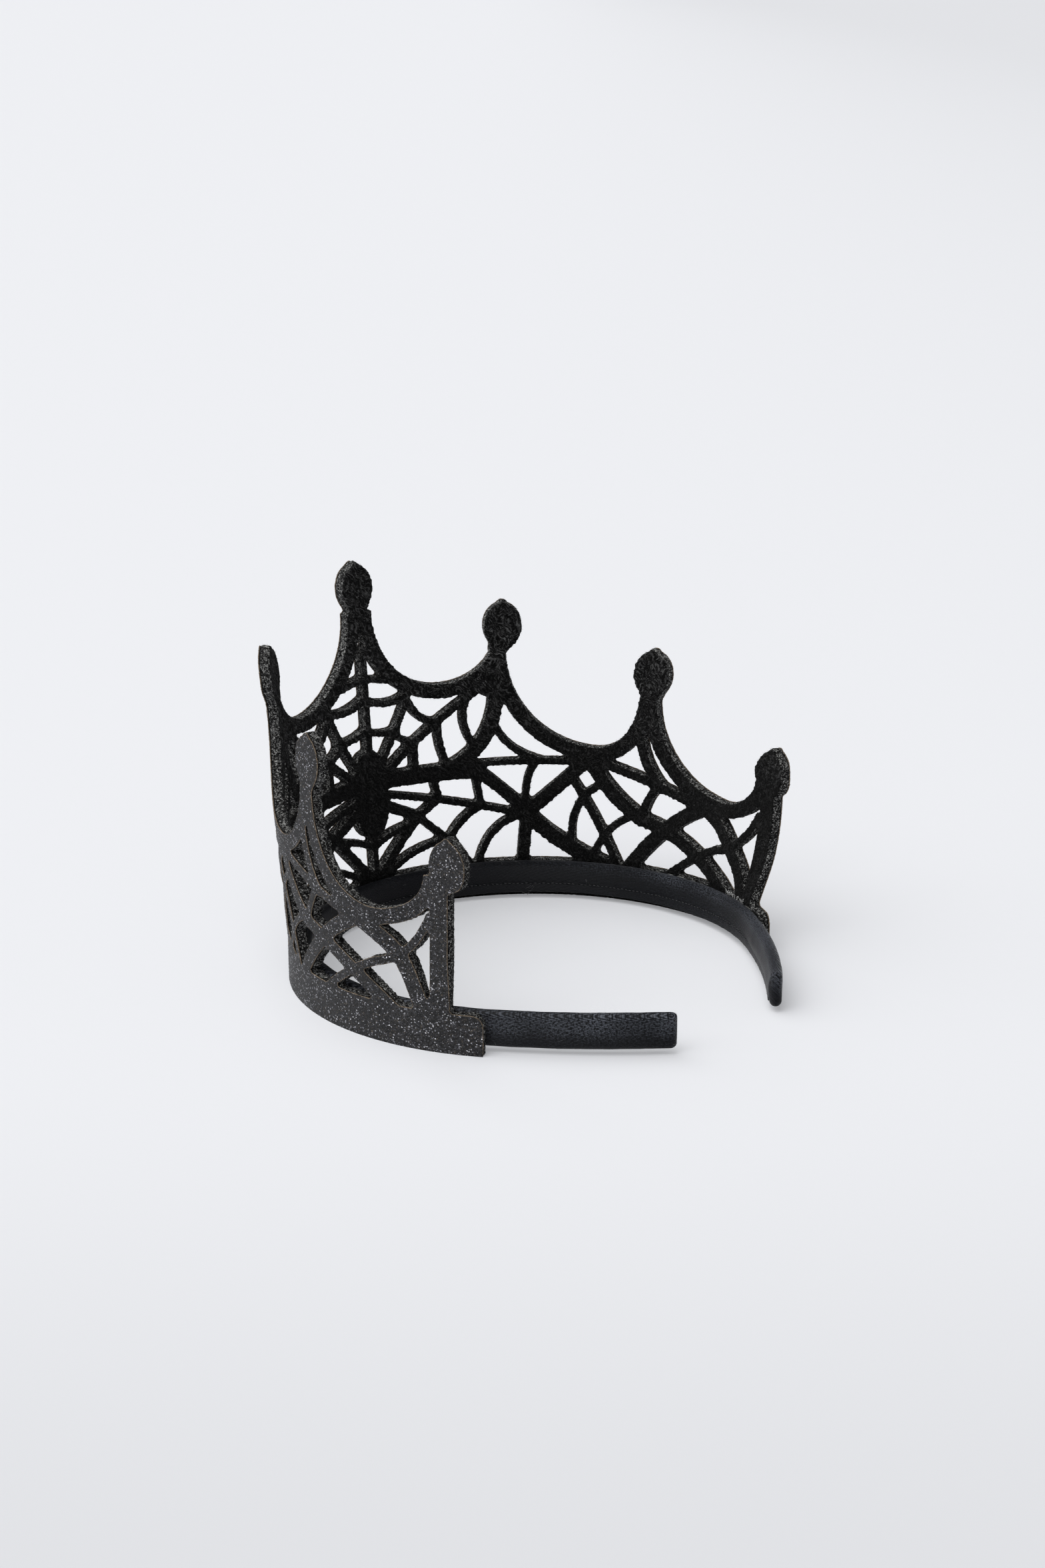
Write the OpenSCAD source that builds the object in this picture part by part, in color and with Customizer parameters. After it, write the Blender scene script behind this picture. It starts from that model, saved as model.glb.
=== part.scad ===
// A costume crown: a spider's web cut from thick glitter felt, glued round a satin headband.
// It stands on the lower edge of the felt, with +Z up, the spider towards -Y and the open
// end of the headband towards +Y.
// Every outline is drawn flat first, as (s, z): s runs round the headband from the middle
// of the front, and z is the height. d stands out from the headband's outer face.

/* [Headband] */
// Radius of the headband's outer face, round the front and the sides
head_r = 65; // [62:0.5:70]
// Radius of the headband's outer face, along the two open ends
end_r = 180; // [150:5:250]
// Length along each side at which the radius changes
front_run = 141; // [138:1:146]
// Length along each side to the tip
band_run = 190; // [180:1:200]
// Height of the headband
band_h = 9.8; // [8:0.2:10]
// Thickness of the padded headband
band_t = 3.2; // [3:0.1:5]
// How far the headband's lower edge is above the felt's
band_lift = 1.45; // [1:0.05:1.8]
// Rounding of the headband's edges
band_round = 1.5; // [0.8:0.1:1.9]
// Height of the stitched hem inside the headband
hem_h = 2.6; // [2:0.1:4]
// Thickness of the stitched hem
hem_t = 0.5; // [0.4:0.1:0.8]

/* [Felt] */
// Thickness of the felt
felt_t = 3.3; // [2.6:0.05:3.6]
// Height of the plain strip along the bottom
strip_h = 11; // [9:0.1:11.4]
// Length of the plain strip along each side
strip_run = 141; // [137:0.5:143]
// Width of the swagged rim
rim_w = 4.2; // [3.6:0.2:6]
// Width of the two end posts
post_w = 5.2; // [4:0.2:7]
// Length along each side to the end posts' outer edge
post_run = 132.4; // [131:0.2:134]
// Widest half width of a finial
finial_w = 5.2; // [4.6:0.1:6.4]
// Height of a finial above its neck
finial_h = 15.0; // [12:0.2:16]

/* [Set of the web] */
// Outward lean added to the whole web, for each millimetre of height
more_lean = 0; // [-0.05:0.005:0.04]
// How much higher the finials stand on the +X side
right_rise = 0.6; // [0:0.1:1]
// How far along the headband the felt is glued off its middle
glue_shift = -0.7; // [-2:0.1:2]

/* [Hidden] */

// Space between pieces that are glued or sewn face to face
seat_gap = 0.2;
// Height at which the web begins to lean
lean_from = 12;
// Height past every finial
web_top = 107;
// Length of one flat facet of the felt
facet_run = 6.6;
// How far a cutting shape reaches past each face of the felt
reach = 2;
// How far a thread's end goes on into what it meets
tuck = 0.5;
// How far the strip, the posts and the rim run into each other
lap = 1;
// Radius of the plain strip's upper corners
strip_corner = 3;
// Middle and half height of a finial's oval head, as shares of the finial's height
head_middle = 0.5;
head_half = 0.46;
// Half width of a finial's point
tip_w = 0.8;
// How much slimmer the headband's ends are drawn, all round, where they join the front
hair = 0.03;
// How far the ends run into the front, in degrees
end_lap = 0.3;
// Longest straight stretch of a curved thread
curve_step = 6.5;
// Longest run round the headband of one stretch of a straight thread
line_step = 14;

// How far the web leans out for each millimetre of height, at points round the headband.
// s, lean
leans = [
    [-130, 0.151],
    [-107, 0.12],
    [-84, 0.099],
    [-41, 0.079],
    [0, 0.074],
    [41, 0.099],
    [62, 0.075],
    [84, -0.008],
    [107, -0.018],
    [130, -0.034]
];

// The rim hangs between the finials in half ellipses, one row for each.
// low s, low z, run to the front, rise to the front, run to the back, rise to the back
swags = [
    [25.2, 65.7, 21.2, 25.0, 15.5, 14.8],
    [69.0, 45.6, 25.5, 29.0, 12.2, 17.5],
    [111.0, 36.1, 24.4, 26.0, 14.2, 11.0]
];

// The finial over the spider: neck s, neck z, head s
front_finial = [0, 90.2, 0];
// Finials along each side, one row for each, as in front_finial.
// The last column is how much further back the head stands on the +X side.
finials = [
    [41.4, 74.4, 42.7, 0],
    [84.1, 61.4, 84.3, 0.2],
    [128.2, 41.5, 130.1, 1.9]
];

// Straight threads, one row for each.
// from s, from z, to s, to z, width
straight_threads = [
    [0.0, 71.0, 8.2, 69.1, 1.8],
    [15.7, 49.0, 15.7, 40.0, 2.0],
    [2.2, 39.6, 35.2, 38.8, 4.8],
    [35.2, 40.7, 62.2, 41.0, 1.8],
    [4.2, 35.6, 46.0, 25.2, 1.9],
    [21.4, 38.0, 22.8, 31.3, 2.0],
    [34.2, 36.8, 35.6, 28.0, 2.0],
    [4.2, 32.6, 16.1, 26.8, 3.0],
    [16.1, 26.8, 25.4, 18.2, 2.2],
    [25.8, 19.2, 32.2, 9.0, 3.0],
    [49.0, 25.0, 47.6, 9.0, 3.5],
    [40.9, 67.5, 40.6, 62.4, 4.2],
    [38.9, 67.0, 38.0, 61.5, 2.4]
];

// Curved threads, one row for each: they start at one point, pass a second and end at a third.
// from s, from z, by s, by z, to s, to z, width
curved_threads = [
    // Rings and spokes above the spider
    [0.0, 64.8, 7.5, 62.4, 14.2, 63.8, 2.1],
    [0.0, 55.6, 5.5, 53.7, 10.2, 54.1, 1.8],
    [10.4, 53.8, 11.6, 51.2, 16.2, 49.2, 1.8],
    [2.2, 41.0, 9.2, 52.5, 14.1, 62.6, 1.8],
    [5.2, 41.0, 18.2, 51.0, 35.2, 63.0, 2.2],
    [23.0, 54.7, 18.2, 56.6, 14.2, 62.4, 2.0],
    [23.4, 54.4, 24.0, 47.0, 26.2, 40.6, 2.0],
    [31.8, 60.0, 31.2, 53.0, 34.2, 45.8, 2.0],
    // Legs and arcs under the first swag
    [40.6, 62.6, 37.0, 48.6, 27.2, 40.2, 4.2],
    [39.8, 53.0, 44.6, 45.6, 53.2, 41.0, 2.0],
    [34.7, 39.0, 41.9, 32.4, 48.8, 26.0, 3.5],
    [23.0, 31.4, 19.4, 29.0, 16.1, 26.8, 2.0],
    [36.4, 28.2, 30.2, 24.4, 25.6, 18.4, 2.0],
    [25.4, 18.4, 13.2, 15.9, 0.7, 8.8, 1.8],
    [15.8, 26.8, 9.0, 19.4, 0.7, 10.6, 2.6],
    [12.6, 24.8, 5.7, 23.0, 0.0, 20.6, 1.8],
    [47.3, 24.6, 38.7, 19.3, 34.2, 9.0, 2.0],
    // Diagonals under the second swag
    [51.9, 41.0, 49.2, 35.0, 48.8, 27.0, 2.0],
    [66.0, 41.2, 57.9, 33.2, 48.8, 25.0, 3.9],
    [48.8, 25.4, 60.2, 16.0, 75.9, 9.0, 4.4],
    [71.7, 35.0, 63.8, 27.4, 62.5, 15.0, 2.1],
    [61.4, 37.0, 69.3, 24.2, 77.3, 9.0, 2.2],
    [81.4, 26.0, 73.8, 21.2, 68.7, 12.6, 2.0],
    [67.5, 41.6, 74.4, 32.0, 83.8, 25.2, 4.1],
    [68.9, 41.6, 84.9, 37.0, 103.3, 32.2, 2.6],
    // Diagonals under the third swag
    [81.3, 54.0, 84.0, 43.0, 90.0, 35.2, 2.8],
    [88.1, 36.0, 85.1, 31.0, 83.5, 25.8, 2.3],
    [83.8, 25.2, 100.0, 19.7, 117.8, 9.0, 3.8],
    [108.3, 33.6, 93.3, 25.0, 79.3, 9.0, 4.2],
    [104.4, 32.4, 117.2, 24.5, 126.0, 9.0, 4.2],
    [127.0, 36.0, 120.2, 26.2, 111.3, 21.8, 2.2],
    [111.3, 21.8, 101.8, 16.6, 92.0, 9.0, 2.2]
];

// Knots where threads meet, one row for each.
// s, z, half width, half height
knots = [
    [48.8, 26.0, 3.8, 3.8],
    [67.6, 41.4, 3.6, 2.8]
];

// The spider's body and head, one row for each, as in knots
spider = [
    [0, 31.5, 5.9, 8.0],
    [0, 43.0, 5.6, 6.6]
];
// Threads from the spider up to the front finial and down to the strip
front_threads = [
    [-0.5, 46.0, -0.5, 80.0, 1.9],
    [0, 26.0, 0, 9.0, 1.8]
];

// Plan of the headband: an arc round the head, and a flatter one to each tip
function turn(s) = let(a = abs(s))
    sign(s) * (min(a, front_run) / head_r + max(a - front_run, 0) / end_r) * 180 / PI;
function outward(s) = [sin(turn(s)), -cos(turn(s))];
function on_band(s) = let(
    side = sign(s),
    front_turn = abs(turn(side * min(abs(s), front_run))),
    full_turn = abs(turn(s)))
    [side * (head_r * sin(front_turn) + end_r * (sin(full_turn) - sin(front_turn))),
     head_r * (1 - cos(front_turn)) + end_r * (cos(front_turn) - cos(full_turn))];

// Lean of the web at s, outwards for each millimetre above lean_from
function lean(s) = more_lean + lookup(s, leans);
// A flat point of the web, bent round the head
function bent(s, z, d) = let(
    p = on_band(s + glue_shift),
    out = d + lean(s + glue_shift) * max(z - lean_from, 0))
    [p.x + outward(s + glue_shift).x * out, p.y + outward(s + glue_shift).y * out, z];

// The box of the whole part, which is centred on X = 0 and Y = 0
widest_finial = finials[1];
left_x = bent(-widest_finial[2] - finial_w, widest_finial[1] + finial_h / 2, felt_t).x;
right_x = head_r + felt_t;
front_y = bent(-glue_shift, front_finial[1] + finial_h, felt_t).y;
back_y = on_band(band_run).y;
middle = [-(left_x + right_x) / 2, -(front_y + back_y) / 2, 0];

// A path's mirror image on the other side of the front, still in the same turning sense
function mirrored(path) = [for (i = [len(path) - 1 : -1 : 0]) [-path[i].x, path[i].y]];
// The direction of a path at its point i
function heading(path, i) = let(v = path[min(i + 1, len(path) - 1)] - path[max(i - 1, 0)]) v / norm(v);
// A path moved to its left by off
function beside(path, off) = [for (i = [0 : len(path) - 1])
    path[i] + off * [-heading(path, i).y, heading(path, i).x]];
// A path whose two ends go on by tuck
function tucked(path) = let(last = len(path) - 1) [for (i = [0 : last])
    path[i] + (i == 0 ? -tuck : i == last ? tuck : 0) * heading(path, i)];
// A curve through three points, in steps of about curve_step
function curve(a, b, c) = let(steps = max(2, ceil((norm(b - a) + norm(c - b)) / curve_step)))
    [for (i = [0 : steps]) let(t = i / steps)
        a * (1 - t) * (1 - 2 * t) + b * 4 * t * (1 - t) + c * t * (2 * t - 1)];
// A straight path from a to c, in steps short enough to follow the bend
function line(a, c) = let(steps = max(1, ceil(abs(c.x - a.x) / line_step)))
    [for (i = [0 : steps]) a + (c - a) * i / steps];
// The upper edge of one swag of the rim, from its front finial to its back one
function swag_edge(row) = concat(
    [for (a = [90 : -18 : 1]) [row[0] - row[2] * sin(a), row[1] + row[3] * (1 - cos(a))]],
    [for (a = [0 : 22.5 : 91]) [row[0] + row[4] * sin(a), row[1] + row[5] * (1 - cos(a))]]);
// An oval outline
function oval(s, z, half_w, half_h, sides = 10) = [for (i = [0 : sides - 1])
    [s + half_w * cos(360 * i / sides), z + half_h * sin(360 * i / sides)]];

// A strip along a path, from right to left of it, that cuts straight through the felt
module ribbon(path, right, left) {
    n = len(path);
    edges = [beside(path, -right), beside(path, left)];
    points = [for (i = [0 : n - 1]) each [
        bent(edges[0][i].x, edges[0][i].y, -reach), bent(edges[0][i].x, edges[0][i].y, felt_t + reach),
        bent(edges[1][i].x, edges[1][i].y, felt_t + reach), bent(edges[1][i].x, edges[1][i].y, -reach)]];
    polyhedron(points, concat(
        [[3, 2, 1, 0]],
        [for (i = [0 : n - 2]) for (k = [0 : 3]) let(a = 4 * i + k, b = 4 * i + (k + 1) % 4)
            [a, b, b + 4, a + 4]],
        [[4 * n - 4, 4 * n - 3, 4 * n - 2, 4 * n - 1]]));
}

// A strip on both sides of the front
module ribbon_pair(path, right, left) {
    ribbon(path, right, left);
    ribbon(mirrored(path), right, left);
}

// A convex outline, as a block that cuts straight through the felt
module plug(outline) {
    n = len(outline);
    hull() polyhedron(
        [for (d = [-reach, felt_t + reach]) for (p = outline) bent(p.x, p.y, d)],
        [[for (i = [0 : n - 1]) i], [for (i = [n - 1 : -1 : 0]) n + i],
         for (i = [0 : n - 1]) [i, n + i, n + (i + 1) % n, (i + 1) % n]]);
}

// A convex outline on both sides of the front
module plug_pair(outline) {
    plug(outline);
    plug(mirrored(outline));
}

// A point of a finial's oval head, at an angle round it
function head_point(neck_z, head_s, height, a) =
    [head_s + finial_w * cos(a), neck_z + height * (head_middle + head_half * sin(a))];
// The outline of a finial: an oval head with a small point, on a narrow neck
function finial(neck_s, neck_z, head_s, height) = concat(
    [[neck_s - finial_w / 2, neck_z], [neck_s + finial_w / 2, neck_z]],
    [for (a = [-40 : 20 : 60]) head_point(neck_z, head_s, height, a)],
    [[head_s + tip_w, neck_z + height], [head_s - tip_w, neck_z + height]],
    [for (a = [120 : 20 : 220]) head_point(neck_z, head_s, height, a)]);

// The felt before it is cut: a bent wall that leans out as it rises
module felt_wall() {
    steps = round(2 * strip_run / facet_run);
    heights = [0, lean_from, web_top];
    section = concat([for (z = heights) [0, z]], [for (i = [2 : -1 : 0]) [felt_t, heights[i]]]);
    n = len(section);
    points = [for (i = [0 : steps]) for (p = section) bent((2 * i / steps - 1) * strip_run, p.y, p.x)];
    polyhedron(points, concat(
        [[for (k = [0 : n - 1]) k]],
        [for (i = [0 : steps - 1]) for (k = [0 : n - 1]) let(a = n * i + k, b = n * i + (k + 1) % n)
            [a, a + n, b + n, b]],
        [[for (k = [n - 1 : -1 : 0]) n * steps + k]]));
}

// The plain strip along the bottom, with rounded upper corners
module base_strip() {
    flat_run = strip_run - strip_corner;
    steps = round(2 * flat_run / facet_run);
    ribbon([for (i = [0 : steps]) [(2 * i / steps - 1) * flat_run, 0]], lap, strip_h);
    plug_pair(concat(
        [[flat_run - lap, -lap], [strip_run + lap, -lap]],
        [for (a = [0 : 30 : 90])
            [flat_run + strip_corner * cos(a), strip_h - strip_corner + strip_corner * sin(a)]],
        [[flat_run - lap, strip_h]]));
}

// The swagged rim and the post at each end
module rim() {
    for (row = swags) ribbon_pair(swag_edge(row), rim_w, 0);
    post_s = post_run - post_w / 2;
    ribbon_pair([[post_s, strip_h - lap], [post_s, finials[2][1] + lap]], post_w / 2, post_w / 2);
}

module finial_heads() {
    plug(finial(front_finial[0], front_finial[1], front_finial[2], finial_h));
    for (row = finials) {
        plug(mirrored(finial(row[0], row[1], row[2], finial_h)));
        plug(finial(row[0], row[1] + right_rise, row[2] + row[3], finial_h + right_rise));
    }
}

module web() {
    for (row = straight_threads)
        ribbon_pair(tucked(line([row[0], row[1]], [row[2], row[3]])), row[4] / 2, row[4] / 2);
    for (row = curved_threads)
        ribbon_pair(tucked(curve([row[0], row[1]], [row[2], row[3]], [row[4], row[5]])),
            row[6] / 2, row[6] / 2);
    for (row = front_threads)
        ribbon(line([row[0], row[1]], [row[2], row[3]]), row[4] / 2, row[4] / 2);
    for (row = knots) plug_pair(oval(row[0], row[1], row[2], row[3]));
    for (row = spider) plug(oval(row[0], row[1], row[2], row[3]));
}

module felt_crown() {
    color([0.13, 0.13, 0.14]) translate(middle) intersection() {
        felt_wall();
        union() {
            base_strip();
            rim();
            finial_heads();
            web();
        }
    }
}

// A rounded section that stands on z = 0, between d = low and d = high, drawn smaller by inset
module rounded_section(low, high, height, round_r, inset) {
    a = low + inset;
    b = high - inset;
    translate([a, round_r]) square([b - a, height - 2 * round_r]);
    translate([a + round_r, inset]) square([b - a - 2 * round_r, height - 2 * inset]);
    for (x = [a + round_r, b - round_r]) for (y = [round_r + inset, height - round_r - inset])
        translate([x, y]) circle(r = round_r, $fn = 32);
}

// Sweeps a section round the plan of the headband, to run along each side.
// The two ends are a hair slimmer than the front, and run into it by end_lap degrees.
module round_the_band(run, low, high, height, round_r) {
    side_turn = front_run / head_r * 180 / PI;
    end_turn = (run - front_run) / end_r * 180 / PI;
    translate([0, head_r]) rotate(-90 - side_turn) rotate_extrude(angle = 2 * side_turn, $fn = 180)
        translate([head_r, 0]) rounded_section(low, high, height, round_r, 0);
    for (side = [0, 1]) mirror([side, 0, 0])
        translate([(head_r - end_r) * sin(side_turn), head_r - (head_r - end_r) * cos(side_turn)])
            rotate(-90 + side_turn - end_lap) rotate_extrude(angle = end_turn + end_lap, $fn = 720)
                translate([end_r, 0]) rounded_section(low, high, height, round_r, hair);
}

module headband() {
    color([0.08, 0.08, 0.09]) translate(middle + [0, 0, band_lift])
        round_the_band(band_run, -seat_gap - band_t, -seat_gap, band_h, band_round);
}

module band_hem() {
    inner_d = -2 * seat_gap - band_t;
    color([0.06, 0.06, 0.07]) translate(middle + [0, 0, band_lift + band_round / 2])
        round_the_band(band_run - 3, inner_d - hem_t, inner_d, hem_h, hem_t / 2 - 2 * hair);
}

felt_crown();
headband();
band_hem();
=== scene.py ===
"""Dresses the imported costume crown: thick glitter felt cut as a web, on a satin headband."""

import logging
import math
import random
from collections.abc import Callable
from dataclasses import dataclass, field
from enum import Enum

import bmesh
import bpy
from mathutils import Matrix, Vector, noise


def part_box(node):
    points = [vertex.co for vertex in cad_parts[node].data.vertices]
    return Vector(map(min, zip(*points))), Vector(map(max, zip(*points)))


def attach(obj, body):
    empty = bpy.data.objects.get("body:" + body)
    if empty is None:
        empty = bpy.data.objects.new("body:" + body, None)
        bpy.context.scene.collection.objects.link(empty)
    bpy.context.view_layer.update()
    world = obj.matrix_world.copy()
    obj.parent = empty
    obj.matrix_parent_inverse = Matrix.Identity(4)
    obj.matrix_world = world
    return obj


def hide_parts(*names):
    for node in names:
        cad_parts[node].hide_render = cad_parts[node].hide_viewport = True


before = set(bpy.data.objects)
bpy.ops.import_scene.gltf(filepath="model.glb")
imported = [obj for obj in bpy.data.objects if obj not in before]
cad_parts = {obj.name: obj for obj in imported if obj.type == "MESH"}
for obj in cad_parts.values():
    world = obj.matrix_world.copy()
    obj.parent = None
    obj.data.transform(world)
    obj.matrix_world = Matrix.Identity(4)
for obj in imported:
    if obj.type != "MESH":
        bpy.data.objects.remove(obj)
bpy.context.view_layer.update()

logger = logging.getLogger("costume_crown")

MM = 0.001
FLOAT, VECTOR = "NodeSocketFloat", "NodeSocketVector"
FlatPoint = tuple[float, float]
Colour = tuple[float, float, float, float]


class Slot(Enum):
    """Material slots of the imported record."""

    FELT = "glitter_felt"
    SATIN = "satin"
    HEM = "satin_hem"


# Flat drawing of the crown, in millimetres


@dataclass(frozen=True)
class Swag:
    """One hanging stretch of the rim, a half ellipse on each side of its lowest point."""

    low_s: float
    low_z: float
    front_run: float
    front_rise: float
    back_run: float
    back_rise: float

    def edge(self) -> list[FlatPoint]:
        """The upper edge, from the front finial to the back one."""
        front = [
            (self.low_s - self.front_run * math.sin(a), self.low_z + self.front_rise * (1 - math.cos(a)))
            for a in (math.radians(x) for x in range(90, 0, -3))
        ]
        back = [
            (self.low_s + self.back_run * math.sin(a), self.low_z + self.back_rise * (1 - math.cos(a)))
            for a in (math.radians(x) for x in range(0, 91, 5))
        ]
        return front + back


@dataclass(frozen=True)
class Finial:
    """An oval head with a small point, on a narrow neck. On the +X side the head stands further back."""

    neck_s: float
    neck_z: float
    head_s: float
    right_back: float = 0.0

    def right(self, rise: float) -> "Finial":
        """The same finial as it stands on the +X side, a little higher."""
        return Finial(self.neck_s, self.neck_z + rise, self.head_s + self.right_back)

    def outline(self, half_width: float, height: float) -> list[FlatPoint]:
        """The outline, anticlockwise from the neck.

        Args:
            half_width: Widest half width of the head.
            height: Height from the neck to the tip.

        Returns:
            Flat points.
        """
        around = [math.radians(a) for a in range(-45, 226, 9) if not 72 < a < 108]
        head = [
            (self.head_s + half_width * math.cos(a), self.neck_z + height * (0.49 + 0.46 * math.sin(a)))
            for a in around
        ]
        tip = [(self.head_s + 0.5, self.neck_z + height), (self.head_s - 0.5, self.neck_z + height)]
        before = [p for p, a in zip(head, around) if a < math.pi / 2]
        after = [p for p, a in zip(head, around) if a > math.pi / 2]
        foot = [(self.neck_s - half_width / 2, self.neck_z), (self.neck_s + half_width / 2, self.neck_z)]
        return foot + before + tip + after


@dataclass(frozen=True)
class Thread:
    """A thread of the web. It is straight where it has no point to pass."""

    start: FlatPoint
    end: FlatPoint
    width: float
    by: FlatPoint | None = None

    def path(self, step: float, tuck: float) -> list[FlatPoint]:
        """Points along the thread, whose two ends go on by tuck.

        Args:
            step: Longest distance between two points.
            tuck: How far each end goes on into what it meets.

        Returns:
            Flat points from start to end.
        """
        a, c = Vector(self.start), Vector(self.end)
        b = Vector(self.by) if self.by else (a + c) / 2
        count = max(3, math.ceil(((b - a).length + (c - b).length) / step))
        points = [
            a * (1 - t) * (1 - 2 * t) + b * 4 * t * (1 - t) + c * t * (2 * t - 1)
            for t in (i / count for i in range(count + 1))
        ]
        points[0] -= (points[1] - points[0]).normalized() * tuck
        points[-1] += (points[-1] - points[-2]).normalized() * tuck
        return [(p.x, p.y) for p in points]


@dataclass(frozen=True)
class Oval:
    """A filled oval: a knot where threads meet, or a part of the spider."""

    s: float
    z: float
    half_width: float
    half_height: float


@dataclass(frozen=True)
class WebDrawing:
    """Every shape that the crown is cut to, drawn flat. s runs round the headband, z is the height."""

    strip_h: float = 11.0
    strip_run: float = 141.0
    strip_corner: float = 3.0
    rim_w: float = 4.2
    post_w: float = 5.2
    post_run: float = 132.4
    finial_w: float = 5.2
    finial_h: float = 15.0
    right_rise: float = 0.6
    swags: tuple[Swag, ...] = (
        Swag(25.2, 65.7, 21.2, 25.0, 15.5, 14.8),
        Swag(69.0, 45.6, 25.5, 29.0, 12.2, 17.5),
        Swag(111.0, 36.1, 24.4, 26.0, 14.2, 11.0),
    )
    front_finial: Finial = Finial(0.0, 90.2, 0.0)
    finials: tuple[Finial, ...] = (
        Finial(41.4, 74.4, 42.7),
        Finial(84.1, 61.4, 84.3, 0.2),
        Finial(128.2, 41.5, 130.1, 1.9),
    )
    threads: tuple[Thread, ...] = (
        # Rings and spokes above the spider
        Thread((0.0, 71.0), (8.2, 69.1), 1.8),
        Thread((0.0, 64.8), (14.2, 63.8), 2.1, (7.5, 62.4)),
        Thread((0.0, 55.6), (10.2, 54.1), 1.8, (5.5, 53.7)),
        Thread((10.4, 53.8), (16.2, 49.2), 1.8, (11.6, 51.2)),
        Thread((15.7, 49.0), (15.7, 40.0), 2.0),
        Thread((2.2, 41.0), (14.1, 62.6), 1.8, (9.2, 52.5)),
        Thread((5.2, 41.0), (35.2, 63.0), 2.2, (18.2, 51.0)),
        Thread((23.0, 54.7), (14.2, 62.4), 2.0, (18.2, 56.6)),
        Thread((23.4, 54.4), (26.2, 40.6), 2.0, (24.0, 47.0)),
        Thread((31.8, 60.0), (34.2, 45.8), 2.0, (31.2, 53.0)),
        # Legs and arcs under the first swag
        Thread((2.2, 39.6), (35.2, 38.8), 4.8),
        Thread((35.2, 40.7), (62.2, 41.0), 1.8),
        Thread((4.2, 35.6), (46.0, 25.2), 1.9),
        Thread((21.4, 38.0), (22.8, 31.3), 2.0),
        Thread((34.2, 36.8), (35.6, 28.0), 2.0),
        Thread((4.2, 32.6), (16.1, 26.8), 3.0),
        Thread((16.1, 26.8), (25.4, 18.2), 2.2),
        Thread((25.8, 19.2), (32.2, 9.0), 3.0),
        Thread((49.0, 25.0), (47.6, 9.0), 3.5),
        Thread((40.9, 67.5), (40.6, 62.4), 4.2),
        Thread((38.9, 67.0), (38.0, 61.5), 2.4),
        Thread((40.6, 62.6), (27.2, 40.2), 4.2, (37.0, 48.6)),
        Thread((39.8, 53.0), (53.2, 41.0), 2.0, (44.6, 45.6)),
        Thread((34.7, 39.0), (48.8, 26.0), 3.5, (41.9, 32.4)),
        Thread((23.0, 31.4), (16.1, 26.8), 2.0, (19.4, 29.0)),
        Thread((36.4, 28.2), (25.6, 18.4), 2.0, (30.2, 24.4)),
        Thread((25.4, 18.4), (0.7, 8.8), 1.8, (13.2, 15.9)),
        Thread((15.8, 26.8), (0.7, 10.6), 2.6, (9.0, 19.4)),
        Thread((12.6, 24.8), (0.0, 20.6), 1.8, (5.7, 23.0)),
        Thread((47.3, 24.6), (34.2, 9.0), 2.0, (38.7, 19.3)),
        # Diagonals under the second swag
        Thread((51.9, 41.0), (48.8, 27.0), 2.0, (49.2, 35.0)),
        Thread((66.0, 41.2), (48.8, 25.0), 3.9, (57.9, 33.2)),
        Thread((48.8, 25.4), (75.9, 9.0), 4.4, (60.2, 16.0)),
        Thread((71.7, 35.0), (62.5, 15.0), 2.1, (63.8, 27.4)),
        Thread((61.4, 37.0), (77.3, 9.0), 2.2, (69.3, 24.2)),
        Thread((81.4, 26.0), (68.7, 12.6), 2.0, (73.8, 21.2)),
        Thread((67.5, 41.6), (83.8, 25.2), 4.1, (74.4, 32.0)),
        Thread((68.9, 41.6), (103.3, 32.2), 2.6, (84.9, 37.0)),
        # Diagonals under the third swag
        Thread((81.3, 54.0), (90.0, 35.2), 2.8, (84.0, 43.0)),
        Thread((88.1, 36.0), (83.5, 25.8), 2.3, (85.1, 31.0)),
        Thread((83.8, 25.2), (117.8, 9.0), 3.8, (100.0, 19.7)),
        Thread((108.3, 33.6), (79.3, 9.0), 4.2, (93.3, 25.0)),
        Thread((104.4, 32.4), (126.0, 9.0), 4.2, (117.2, 24.5)),
        Thread((127.0, 36.0), (111.3, 21.8), 2.2, (120.2, 26.2)),
        Thread((111.3, 21.8), (92.0, 9.0), 2.2, (101.8, 16.6)),
    )
    front_threads: tuple[Thread, ...] = (
        Thread((-0.5, 46.0), (-0.5, 80.0), 1.9),
        Thread((0.0, 26.0), (0.0, 9.0), 1.8),
    )
    knots: tuple[Oval, ...] = (
        Oval(48.8, 26.0, 3.8, 3.8),
        Oval(67.6, 41.4, 3.6, 2.8),
        Oval(36.6, 63.9, 1.8, 2.0),
    )
    spider: tuple[Oval, ...] = (Oval(0.0, 31.5, 5.9, 8.0), Oval(0.0, 43.0, 5.6, 6.6))

    def strip_outline(self) -> list[FlatPoint]:
        """Outline of the plain strip along the bottom, with rounded upper corners."""
        run, r = self.strip_run, self.strip_corner
        right = [
            (run - r + r * math.cos(a), self.strip_h - r + r * math.sin(a))
            for a in (math.radians(x) for x in range(0, 91, 15))
        ]
        left = [(-s, z) for s, z in reversed(right)]
        return [(-run, 0.0), (run, 0.0), *right, *left]


# Plan of the headband, and the set of the web on it


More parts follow.
